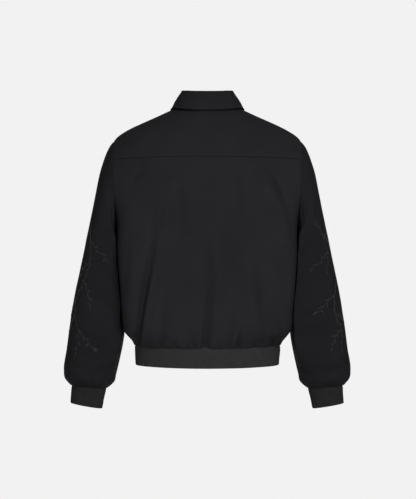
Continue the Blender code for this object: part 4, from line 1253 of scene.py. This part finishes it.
def cuff_puckers(hand, share, up):
    """Puckers above the cuff, at uneven places round it, which fade up by exp(-d / fade)."""
    chance = np.random.default_rng(51 + hand)
    moved = 0.2 * np.exp(-up / 30)
    for place in np.cumsum(chance.uniform(0.045, 0.095, 16)):
        size, lean = chance.uniform(0.4, 1.2), chance.uniform(-0.0006, 0.0006)
        width, fade = chance.uniform(0.012, 0.024), chance.uniform(14, 40)
        moved = moved - size * bump(round_off(share, place + lean * up), width) * np.exp(-up / fade)
    return moved * (0.3 + 0.7 * ease(up / 8))


@functools.cache
def sleeve_cloth(hand):
    """One sleeve, from the armhole to the cuff's seam.

    Over its form lie creases and unevenness, calmer beside the body, the puckers above the cuff,
    small mounds of fullness 13 mm below the shoulder's seam, and the seams' valleys.
    """
    seam, turns, at = mm("seam"), ring_turns(), sleeve_rows()
    grid, normals = sleeve(hand, turns, at)
    share = turns[None, :] / (2 * math.pi)
    down, up = at[:, None], SLEEVE_LENGTH - at[:, None]
    uneven = sum(
        size * unevenness(share * around, down / cell, 1, layer + hand, around)
        for size, around, cell, layer in SLEEVE_UNEVEN
    )
    moved = sleeve_fold_depth(SLEEVE_CREASES, hand, turns, at)
    moved = moved * bpy.context.scene.jacket_cloth.crease
    moved += uneven * ease(down / 25) * ease(up / 20)
    beside_body = bump(share - 0.5, 0.06)
    moved = moved * (1 - 0.8 * beside_body)
    moved += 0.9 * beside_body * ease(down / 50) * ease((up - 60) / 60)
    moved += cuff_puckers(hand, share, up) * mm("cuff_gather")
    for place in EASED_IN:
        moved += 0.55 * bump(round_off(share, place), 0.012) * bump(down - 13, 12)
    moved += dip(down, seam, 2.6) + dip(up, 1.1 * seam, 3.0)
    moved += dip((share - 0.5) * walked(grid, 1)[:, -1:], 0.7 * seam, 1.8)
    return shaped(grid, normals, moved)


def ribs(total):
    """Places along a knit, six to a rib, and the ribs' rounded height there, from 0 to 1."""
    count = max(1, round(total / mm("rib_pitch")))
    phase = np.array([0.0, 0.10, 0.27, 0.5, 0.73, 0.90])
    place = (np.arange(count)[:, None] + phase).ravel() / count
    return place, np.sqrt(np.clip(1 - (2 * np.tile(phase, count) - 1) ** 2, 0, 1))


def knitted(grid, normals, relief, down, up, uneven):
    """A knit's face: ribs on an uneven ground, flatter and drawn in at both ends, with painted
    highlight on the ribs' tops and painted shade between them.
    """
    size = mm("rib_relief")
    moved = size * (relief - 0.75) * (0.35 + 0.65 * ease(np.minimum(down, up) / 3))
    moved = moved + uneven + dip(down, 0.8, 2.5) - 0.5 * bump(up, 1.5)
    level = np.ones_like(moved)
    outer = grid + normals * moved[..., None]
    # The ribs' tops get the pale tone and the valleys the dark one, as painted highlight and shade.
    return Face(outer, normals, (0.2 + 0.6 * relief) * level, -0.7 * size * (relief - 0.5) * level)


def cuff_knit(hand):
    """One rib cuff: ribs that run down it, drawn in a little where it is sewn on."""
    rings = np.array([ring(CUFF, i, ring_turns(CUFF_POINTS)) for i in range(3)])
    place, relief = ribs(walked(wrapped(rings), 1)[1, -1])
    rings = np.array([ring(CUFF, i, place * 2 * math.pi) for i in range(3)])
    ends = CUFF["at"]
    at = stations(-TUCKED, ends[-1], CUFF_ROWS, rim=RIB_RIM)
    grid = cubic(ends, rings, np.gradient(rings, ends, axis=0), at) * (hand, 1, 1)
    down, up = np.maximum(at[:, None], 0), ends[-1] - at[:, None]
    uneven = 1.1 * unevenness(place * 9, at[:, None] / 20, 1, 61 + hand, 9)
    return knitted(grid, tube_normals(grid), relief, down, up, uneven)


def band_point(angle, height):
    """A point of the hem band. The angle is 0 at the wearer's left, and grows to the back."""
    power = 2 / smooth(HEM_BAND, "squareness", height)
    x = smooth(HEM_BAND, "half_width", height) * signed_power(np.cos(angle), power)
    y = smooth(HEM_BAND, "half_depth", height) * signed_power(np.sin(angle), power)
    return hung(np.stack(np.broadcast_arrays(x, y, height), -1))


def band_knit():
    """The rib band, from one side of the zip round the back to the other, tucked in at its top."""
    half_width, power = HEM_BAND["half_width"][-1], HEM_BAND["squareness"][-1]
    to_zip = math.pi / 2 - math.asin((ZIP_GAP / half_width) ** (power / 2))
    angles = np.linspace(-to_zip, math.pi + to_zip, BAND_STEPS)
    far = walked(band_point(angles, np.full_like(angles, BAND_MIDDLE))[None], 1)[0]
    place, relief = ribs(far[-1])
    place, relief = np.append(place, 1.0), np.append(relief, 0.0)
    height = stations(HEM_SEAM + TUCKED, HEM_BOTTOM, BAND_ROWS, rim=RIB_RIM)[:, None]
    grid = band_point(np.interp(place * far[-1], far, angles), np.minimum(height, HEM_SEAM))
    grid[..., 2] += np.maximum(height - HEM_SEAM, 0)
    normals = sheet_normals(grid, grid * (1, 1, 0))
    uneven = 1.3 * unevenness(place * 22, height / 26, 1, 71, 64)
    down, up = np.maximum(HEM_SEAM - height, 0), height - HEM_BOTTOM
    return knitted(grid, normals, relief, down, up, uneven)


# ---------------------------------------------------------------- the collar


def neck_seam(at):
    """The neck seam: 0 at the middle of the back, 1 or -1 at the neck points, 2 at the front."""
    share = np.abs(at)
    behind = np.minimum(share, 1)
    back, _ = torso(1.0, behind, NECK_POINT + NECK_BACK_RISE * (1 - behind**2))
    x, height = front_neckline(np.clip(2 - share, 0, 1))
    ahead, _ = torso(-1.0, across_at(-1.0, np.maximum(x, ZIP_GAP), height), height)
    seam = np.where((share <= 1)[:, None], back, ahead)
    return seam * np.stack([np.sign(at + 1e-9), np.ones_like(at), np.ones_like(at)], -1)


def collar_frame(at):
    """The roll line, the edge of the fall, and the directions outwards and upwards along them.

    Both directions stand square to the roll line, so that the roll is round where it dips.
    """
    share, side = np.abs(at), np.sign(at + 1e-9)
    lines = []
    for line in ("roll", "edge"):
        x, y, z = (smooth(COLLAR, f"{line}_{axis}", share) for axis in "xyz")
        lines.append(np.stack([x * side, y, z], -1))
    along = unit(np.gradient(lines[0], axis=0))
    outwards = unit(np.cross(along, (0, 0, 1.0)))
    outwards *= np.sign(np.sum(outwards * lines[0] * (1, 1, 0), -1, keepdims=True))
    upwards = np.cross(outwards, along)
    return *lines, outwards, upwards * np.sign(upwards[:, 2:])


def clear_of_torso(points, gap):
    """The points, moved out along the torso's normals where they are nearer to it than gap."""
    for _ in range(3):
        x, y, z = np.moveaxis(points, -1, 0)
        side = np.where(y > 0, 1.0, -1.0)
        height = np.minimum(z, NECK_POINT + 4)
        power, side_y, depth, half_width, _ = section(side, height)
        level = (np.abs(x) / half_width) ** power + (np.abs(y - side_y) / depth) ** power
        normals = torso_normal(side, np.stack([x, y, height], -1))
        radius = np.hypot(x, y - side_y) * np.linalg.norm(normals[..., :2], axis=-1)
        near = radius * (1 - np.maximum(level, 1e-6) ** (-1 / power))
        points = points + normals * np.where(z > height, 0, np.maximum(gap - near, 0))[..., None]
    return points


def collar_places():
    """Places along the collar, closer together at both ends."""
    return stations(-COLLAR_HALF, COLLAR_HALF, mm("spacing") * 0.8) / (COLLAR_HALF / 2)


def stand_cloth():
    """The band that rises from the neck seam to the roll line, with an allowance inside."""
    at = collar_places()
    roll, _, outwards, _ = collar_frame(at)
    foot, top = neck_seam(at), roll - outwards * (COLLAR_ROLL - COLLAR_WALL / 2)
    up = np.concatenate([STAND_ALLOWANCE, stations(0, STAND_HEIGHT, STAND_ROWS)])[:, None, None]
    grid = foot + (top - foot) * up / STAND_HEIGHT - outwards * 1.5 * ease(-up / 1.2)
    return shaped(grid, np.broadcast_to(outwards, grid.shape), dip(up[..., 0] + 0 * at, 0.5, 2.0))


@functools.cache
def collar_cloth():
    """The collar's fall: half a circle round the roll, then down to its outer edge."""
    roll, edge, outwards, upwards = collar_frame(collar_places())
    turn = np.radians(np.linspace(0, 180, ROLL_ROWS))[:, None, None]
    turned = upwards * np.sin(turn) - outwards * np.cos(turn)
    rolled = roll + upwards * 0.3 + turned * (COLLAR_ROLL + COLLAR_WALL / 2)
    share = np.array(FALL_ROWS)[:, None, None]
    fall = rolled[-1] + (edge - rolled[-1]) * share + outwards * 2 * np.sin(math.pi * share)
    grid = np.concatenate([rolled, clear_of_torso(fall, COLLAR_CLEAR)])
    away = np.concatenate([turned, np.broadcast_to(outwards + 0.3 * upwards, fall.shape)])
    normals = sheet_normals(grid, away)
    normals[:ROLL_ROWS_ROUND] = away[:ROLL_ROWS_ROUND]
    edges = from_edges(grid)
    moved = stitched_edge(nearest(edges, "last", "left", "right"), 0.25, 0.3)
    uneven = 0.6 * unevenness(walked(grid, 1) + 500, edges["first"] + 50, 34, 81)
    return shaped(grid, normals, moved + uneven * ease((edges["first"] - 12) / 10))


# ---------------------------------------------------------------- stitches


def capsule(long, thick):
    """A stitch along the first direction: the rings of a rounded rod, with closed ends."""
    turns, (place, radius) = ring_turns(STITCH_SIDES), np.array(STITCH_RINGS).T[..., None]
    across, up = np.cos(turns) * radius * thick / 2, np.sin(turns) * radius * thick / 2
    points = np.stack([place * long + 0 * across, across, up * STITCH_FLATNESS], -1)
    return points.reshape(-1, 3), rod_quads(len(STITCH_RINGS), STITCH_SIDES)[:, ::-1]


def stitch_row(line, normals):
    """One row of topstitches along a line of points: a capsule at each step of its length."""
    far = walked(line[None], 1)[0]
    pitch = mm("stitch") + mm("stitch_gap")
    steps = np.arange(pitch, far[-1] - pitch / 2, pitch)
    along = unit(read_along(line, far, steps + 0.5) - read_along(line, far, steps - 0.5))
    sideways = unit(np.cross(unit(read_along(normals, far, steps)), along))
    up = np.cross(along, sideways)
    middles = read_along(line, far, steps) + up * STITCH_UP
    axes = np.stack([along, sideways, up], 1)
    return repeated(*capsule(mm("stitch"), mm("thread")), middles, axes)


def add_stitching(name, rows):
    """Several rows of topstitches as one piece."""
    points, quads = joined([stitch_row(line, normals) for line, normals in rows])
    obj = add_mesh(name, points, quads, finish("topstitch_thread"), points[:, [0, 2]])
    return dress(obj, "twill")


def line_on(face, distance, edge):
    """A line on a face at a distance from one of its edges: points and normals."""
    far, outer, normals = from_edges(face.outer)[edge], face.outer, face.normals
    if edge in ("left", "right"):
        far, outer, normals = far.T, outer.swapaxes(0, 1), normals.swapaxes(0, 1)
    if edge in ("last", "right"):
        far, outer, normals = far[::-1], outer[::-1], normals[::-1]
    row = np.maximum(np.argmax(far >= distance, axis=0), 1)
    column = np.arange(far.shape[1])
    low, high = far[row - 1, column], far[row, column]
    share = ((distance - low) / np.maximum(high - low, 1e-6))[:, None]
    points = outer[row - 1, column] * (1 - share) + outer[row, column] * share
    return points, unit(normals[row, column])


# ---------------------------------------------------------------- embroidery


def on_sleeve(hand, flat):
    """Points and normals of a sleeve's cloth, at millimetres round it and down it.

    The grid is read between its neighbouring points, in both directions.
    """
    face, at = sleeve_cloth(hand), sleeve_rows()
    around, down = flat[..., 0], flat[..., 1]
    column = (around / np.interp(down, at, walked(wrapped(face.outer), 1)[:, -1]) % 1) * RING_POINTS
    row = np.interp(down, at, np.arange(len(at)))
    i = np.clip(np.floor(row).astype(int), 0, len(at) - 2)
    j = np.floor(column).astype(int) % RING_POINTS
    s, t = (row - i)[..., None], (column - np.floor(column))[..., None]
    found = []
    for field in (face.outer, face.normals):
        top = field[i, j] * (1 - t) + field[i, (j + 1) % RING_POINTS] * t
        low = field[i + 1, j] * (1 - t) + field[i + 1, (j + 1) % RING_POINTS] * t
        found.append(top * (1 - s) + low * s)
    return found[0], unit(found[1])


def curve_through(points):
    """Points 1 mm apart on a smooth curve through the given ones, with its directions."""
    points = np.array(points, float)
    at = walked(points[None], 1)[0]
    places = np.linspace(0, at[-1], max(6, int(at[-1])))
    line = cubic(at, points, np.gradient(points, at, axis=0), places)
    return line, unit(np.gradient(line, axis=0))


def leaves(hand, bases, directions, sizes):
    """Satin leaves as thin closed shells: an almond outline, domed, with a groove down it.

    Half the width at a share s of the length is sin(pi s^0.8), and the top is
    sqrt(1 - b^2) high at a share b of the half width.
    """
    along, across = LEAF_POINTS
    s, b = np.meshgrid(np.linspace(0, 1, along), np.linspace(-1, 1, across), indexing="ij")
    s, b = s[None], b[None]
    long = sizes[:, None, None] * mm("leaf_length")
    wide = sizes[:, None, None] * mm("leaf_width") / 2
    outline = np.sin(math.pi * np.clip(s, 0.02, 0.98) ** 0.8) ** 0.85
    sideways = directions[:, ::-1] * (-1, 1)
    aside = b * outline * wide + 0.18 * long * s * s
    flat = bases[:, None, None] + directions[:, None, None] * (s * long)[..., None]
    points, normals = on_sleeve(hand, flat + sideways[:, None, None] * aside[..., None])
    dome = np.sqrt(1 - 0.98 * b * b) - 0.45 * bump(b, 0.16)
    height = mm("satin") * dome * (0.3 + 0.7 * outline)
    count = len(bases)
    sheets = (points + normals * height[..., None], points - normals * 0.35)
    shells = np.concatenate([sheet.reshape(count, -1, 3) for sheet in sheets], 1)
    index = np.arange(2 * s.size).reshape(2, *s.shape[1:])
    shifted = wall_quads(index)[None] + (np.arange(count) * index.size)[:, None, None]
    uv = np.stack([s * long + 1.2 * np.abs(b) * wide, b * wide], -1)
    uv = np.concatenate([uv.reshape(count, -1, 2)] * 2, 1)
    return shells.reshape(-1, 3), shifted.reshape(-1, 4), uv.reshape(-1, 2)


def stem(hand, line, width):
    """A satin stem: a flattened half-round cord along a line of the sleeve, tapered at its end."""
    sideways = unit(np.gradient(line, axis=0))[:, ::-1] * (-1, 1)
    turns = ring_turns(STEM_SIDES) + math.pi / STEM_SIDES
    taper = np.clip(1.1 - np.linspace(0, 1, len(line)) ** 3, 0.25, 1)[:, None]
    offset = np.cos(turns) * width / 2 * taper
    points, normals = on_sleeve(hand, line[:, None] + sideways[:, None] * offset[..., None])
    height = np.maximum(np.sin(turns) * mm("satin") * 0.9 * taper, -0.3)
    points = points + normals * height[..., None]
    far = np.arange(len(line))[:, None] + 0.6 * offset
    uv = np.stack([far, offset], -1)
    return points.reshape(-1, 3), rod_quads(len(line), STEM_SIDES), uv.reshape(-1, 2)


def add_embroidery(hand, side):
    """One sleeve's embroidery: winding stems, their twigs, and leaves along both, as one piece."""
    chance = np.random.default_rng(91 + hand)
    parts, grown = [], []
    for width, points in STEMS[hand]:
        line, ahead = curve_through(points)
        parts.append(stem(hand, line, width))
        for n, i in enumerate(range(7, len(line) - 3, LEAF_EVERY[width])):
            angle = (1 if n % 2 else -1) * chance.uniform(0.5, 0.85)
            cosine, sine = math.cos(angle), math.sin(angle)
            way = ahead[i] @ np.array([[cosine, sine], [-sine, cosine]])
            grown.append((*line[i], *way, chance.uniform(0.7, 1.1)))
        grown.append((*line[-1], *ahead[-1], 0.9))
    grown = np.array(grown)
    parts.append(leaves(hand, grown[:, :2], unit(grown[:, 2:4]), grown[:, 4]))
    points, quads, uv = joined(parts)
    quads = outwards_turned(points, quads)
    obj = add_mesh(f"embroidery_{side}", points, quads, finish("embroidery_satin"), uv)
    return dress(obj, "twill")


# ---------------------------------------------------------------- the zip


def zip_line(heights):
    """The front's middle at these heights, on the outside: points, and the directions outwards.

    Over the hem band it runs straight down, as deep in as the band's own wall needs.
    """
    inside = BAND_SOLID + TAPE_CLEAR - TAPE_FRONT - HEM_BAND["half_depth"][0]
    on_front = np.clip((heights - ZIP_BEND[0]) / (ZIP_BEND[1] - ZIP_BEND[0]), 0, 1)[:, None]
    points, normals = torso(-1.0, 0.0, np.maximum(heights, HEM_SEAM))
    level = np.stack([0 * heights, 0 * heights + inside, heights], -1)
    points = level + (points - level) * on_front
    return points, unit(normals * on_front + np.array([0, -1.0, 0]) * (1 - on_front))


def tape_face(hand):
    """A woven tape from beside the teeth to behind the front: the zip's line, spread sideways."""
    line, outwards = zip_line(stations(ZIP_TOP, HEM_BOTTOM + 1, 3.0))
    across = hand * stations(TAPE_EDGE, TAPE_OUTER, 2.0, rim=(0.2,))
    outer = line[:, None] + across[:, None] * (1.0, 0, 0) - outwards[:, None] * TAPE_FRONT
    return Face(outer, np.broadcast_to(outwards[:, None], outer.shape))


def tooth():
    """One tooth: a rounded block with a raised head, across x, outwards and up."""
    outline = np.array([*TOOTH_OUTLINE, *((x, -z) for x, z in TOOTH_OUTLINE[::-1])])
    depth, size = np.array(TOOTH_LAYERS).T[..., None]
    x, z = np.moveaxis(outline.mean(0) + (outline - outline.mean(0)) * size[..., None], -1, 0)
    points = np.stack([x, depth + 0 * x, z], -1).reshape(-1, 3)
    return points, rod_quads(len(TOOTH_LAYERS), len(outline))


def zip_chain():
    """The closed chain: teeth from both sides in turn, each clamped on its tape."""
    pitch = mm("tooth_pitch")
    slider, _ = torso(-1.0, 0.0, np.array([SLIDER_TOP, SLIDER_TOP - SLIDER_LENGTH]))
    top = slider[0, 2] + unit(slider[1] - slider[0])[2] * SLIDER_LENGTH - CHAIN_FROM_SLIDER
    line, outwards = zip_line(np.linspace(top, STOP_TOP + CHAIN_FROM_STOP, CHAIN_STEPS))
    far = walked(line[None], 1)[0]
    parts = []
    for hand, start in ((1, 0.25), (-1, 0.75)):
        steps = np.arange(pitch * start, far[-1], pitch)
        out = unit(read_along(outwards, far, steps))
        across = np.broadcast_to((float(hand), 0, 0), out.shape)
        axes = np.stack([across, out, np.cross(across, out) * hand], 1)
        parts.append(repeated(*tooth(), read_along(line, far, steps) - out * CHAIN_DEPTH, axes))
    points, quads = joined(parts)
    quads = outwards_turned(points, quads)
    obj = add_mesh("zip_chain_teeth", points, quads, zip_metal(), points[:, [0, 2]])
    return dress(obj, "zip_metal", "zip_chain")


# ---------------------------------------------------------------- the stage


def add_light(name, place, size, power):
    """One large soft area light. It has no mirror image, so it draws no rim round the cloth."""
    data = bpy.data.lights.new(name, "AREA")
    data.shape = "DISK"
    data.size = size
    data.energy = power
    obj = bpy.data.objects.new(name, data)
    bpy.context.scene.collection.objects.link(obj)
    obj.location = place
    obj.visible_glossy = False
    obj.rotation_euler = (LIT_POINT - Vector(place)).to_track_quat("-Z", "Y").to_euler()


def add_floor(height):
    """A pale disc: rings of points about its middle, closed by a small inner ring."""
    turns = ring_turns(FLOOR_SIDES)
    rim = np.stack([np.cos(turns), np.sin(turns), 0 * turns], -1)
    points = (np.array(FLOOR_RADII)[:, None, None] * rim).reshape(-1, 3)
    points[:, 2] = height / MM
    quads = grid_quads(wrapped(np.arange(len(points)).reshape(-1, FLOOR_SIDES)))[:, ::-1]
    made, n, shader = new_material("pale_floor")
    if n is not None:
        n.give(shader, {"Base Color": FLOOR_COLOUR, "Roughness": 0.9, "Specular IOR Level": 0.0})
    add_mesh("floor", points, quads, made)


def add_surroundings(colour):
    """An even world, which lights the jacket less than it shows behind it."""
    world = bpy.data.worlds.new("studio")
    bpy.context.scene.world = world
    world.use_nodes = True
    world.node_tree.nodes.clear()
    n = Nodes(world.node_tree)
    seen = n.add("ShaderNodeLightPath").outputs["Is Camera Ray"]
    strength = n.math("MULTIPLY_ADD", seen, 1 - AMBIENT, AMBIENT)
    air = n.add("ShaderNodeBackground", {"Color": (*colour, 1), "Strength": strength})
    n.add("ShaderNodeOutputWorld", {"Surface": air.outputs[0]})


def add_camera(stage):
    """The camera, level behind the jacket."""
    data = bpy.data.cameras.new("camera")
    data.sensor_width = 36.0
    data.lens = data.sensor_width * stage.distance / stage.view_height
    data.clip_end = 50.0
    camera = bpy.data.objects.new("camera", data)
    bpy.context.scene.collection.objects.link(camera)
    camera.location = (stage.aside, stage.distance, stage.eye)
    camera.rotation_euler = (math.pi / 2, 0, math.pi)
    bpy.context.scene.camera = camera


# ---------------------------------------------------------------- operators


class JACKET_OT_torso(bpy.types.Operator):
    """Makes the back panel, the yoke and both fronts."""

    bl_idname = "jacket.torso"
    bl_label = "Back, yoke and fronts"

    def execute(self, context):
        twill, wall = finish("black_twill_body"), mm("wall")
        panel = add_wall("back_panel", back_cloth(), wall, twill)
        yoke = add_wall("back_yoke", yoke_cloth(), wall, twill)
        for hand, side in SIDES:
            made = add_wall(f"front_{side}", front_cloth(hand), wall, twill)
        return {"FINISHED"}


class JACKET_OT_sleeves(bpy.types.Operator):
    """Makes both sleeves."""

    bl_idname = "jacket.sleeves"
    bl_label = "Sleeves"

    def execute(self, context):
        twill = finish("black_twill_sleeve")
        for hand, side in SIDES:
            made = add_wall(f"sleeve_{side}", sleeve_cloth(hand), mm("wall"), twill, closed=True)
        return {"FINISHED"}


class JACKET_OT_ribs(bpy.types.Operator):
    """Makes the rib cuffs and the rib hem band."""

    bl_idname = "jacket.ribs"
    bl_label = "Cuffs and hem band"

    def execute(self, context):
        knit, wall = finish("charcoal_rib_cuff"), mm("rib_wall")
        for hand, side in SIDES:
            made = add_wall(f"cuff_{side}", cuff_knit(hand), wall, knit, "rib", "knit", closed=True)
        band = add_wall("hem_band", band_knit(), wall, finish("charcoal_rib_hem"), "rib", "knit")
        return {"FINISHED"}


class JACKET_OT_collar(bpy.types.Operator):
    """Makes the collar's stand and its fall."""

    bl_idname = "jacket.collar"
    bl_label = "Collar"

    def execute(self, context):
        twill = finish("black_twill_collar")
        stand = add_wall("collar_stand", stand_cloth(), STAND_WALL, twill)
        fall = add_wall("collar_fall", collar_cloth(), FALL_WALL, twill)
        return {"FINISHED"}


class JACKET_OT_stitching(bpy.types.Operator):
    """Makes the topstitching of the yoke, the collar and the front edges."""

    bl_idname = "jacket.stitching"
    bl_label = "Topstitching"

    def execute(self, context):
        inset = mm("stitch_inset")
        add_stitching("topstitching_yoke", [line_on(yoke_cloth(), inset, "first")])
        edges = from_edges(collar_cloth().outer)
        keep = nearest(edges, "left", "right")[STITCHED_ROW] > inset
        line, up = line_on(collar_cloth(), inset, "last")
        add_stitching("topstitching_collar", [(line[keep], up[keep])])
        rows = [line_on(front_cloth(hand), inset, "left") for hand, _ in SIDES]
        add_stitching("topstitching_fronts", rows)
        return {"FINISHED"}


class JACKET_OT_embroidery(bpy.types.Operator):
    """Makes the leafy embroidery on both sleeves."""

    bl_idname = "jacket.embroidery"
    bl_label = "Embroidery"

    def execute(self, context):
        for hand, side in SIDES:
            add_embroidery(hand, side)
        return {"FINISHED"}


class JACKET_OT_zip(bpy.types.Operator):
    """Makes the zip's tapes and teeth, and finishes its slider, pull and stop in dark nickel."""

    bl_idname = "jacket.zip"
    bl_label = "Zip"

    def execute(self, context):
        for hand, side in SIDES:
            tape = add_wall(f"zip_tape_{side}", tape_face(hand), TAPE, finish("zip_tape"), "tape")
        zip_chain()
        for name in ("zip_slider", "zip_pull", "zip_stop"):
            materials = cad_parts[name].data.materials
            materials.clear()
            materials.append(zip_metal())
        return {"FINISHED"}


class JACKET_OT_stage(bpy.types.Operator):
    """Makes the camera, the floor and the lights."""

    bl_idname = "jacket.stage"
    bl_label = "Stage"

    def execute(self, context):
        stage = context.scene.jacket_stage
        add_surroundings(stage.air)
        context.scene.view_settings.view_transform = "Standard"
        add_camera(stage)
        add_floor(stage.floor)
        for name, light in LIGHTS.items():
            add_light(name, *light)
        return {"FINISHED"}


OPERATORS = (
    JACKET_OT_torso,
    JACKET_OT_sleeves,
    JACKET_OT_ribs,
    JACKET_OT_collar,
    JACKET_OT_stitching,
    JACKET_OT_embroidery,
    JACKET_OT_zip,
    JACKET_OT_stage,
)
SETTINGS = {
    "jacket_cloth": JacketCloth,
    "jacket_trim": JacketTrim,
    "jacket_colours": JacketColours,
    "jacket_stage": JacketStage,
}


class JACKET_PT_pieces(bpy.types.Panel):
    """Lists what the add-on makes, and the sizes and colours it uses."""

    bl_label = "Bomber jacket"
    bl_idname = "JACKET_PT_pieces"
    bl_space_type = "VIEW_3D"
    bl_region_type = "UI"
    bl_category = "Jacket"

    def draw(self, context):
        for operator in OPERATORS:
            self.layout.operator(operator.bl_idname)
        for name in SETTINGS:
            box = self.layout.box()
            group = getattr(context.scene, name)
            for key in group.__annotations__:
                box.prop(group, key)


def register():
    """Adds the settings, the operators and the panel."""
    for name, group in SETTINGS.items():
        bpy.utils.register_class(group)
        setattr(bpy.types.Scene, name, PointerProperty(type=group))
    for item in (*OPERATORS, JACKET_PT_pieces):
        bpy.utils.register_class(item)


def unregister():
    """Takes them away again."""
    for item in (JACKET_PT_pieces, *reversed(OPERATORS)):
        bpy.utils.unregister_class(item)
    for name, group in SETTINGS.items():
        delattr(bpy.types.Scene, name)
        bpy.utils.unregister_class(group)


def main():
    """Makes every piece and the stage."""
    register()
    bpy.ops.jacket.torso()
    bpy.ops.jacket.sleeves()
    bpy.ops.jacket.ribs()
    bpy.ops.jacket.collar()
    bpy.ops.jacket.stitching()
    bpy.ops.jacket.embroidery()
    bpy.ops.jacket.zip()
    bpy.ops.jacket.stage()


if __name__ == "__main__":
    main()
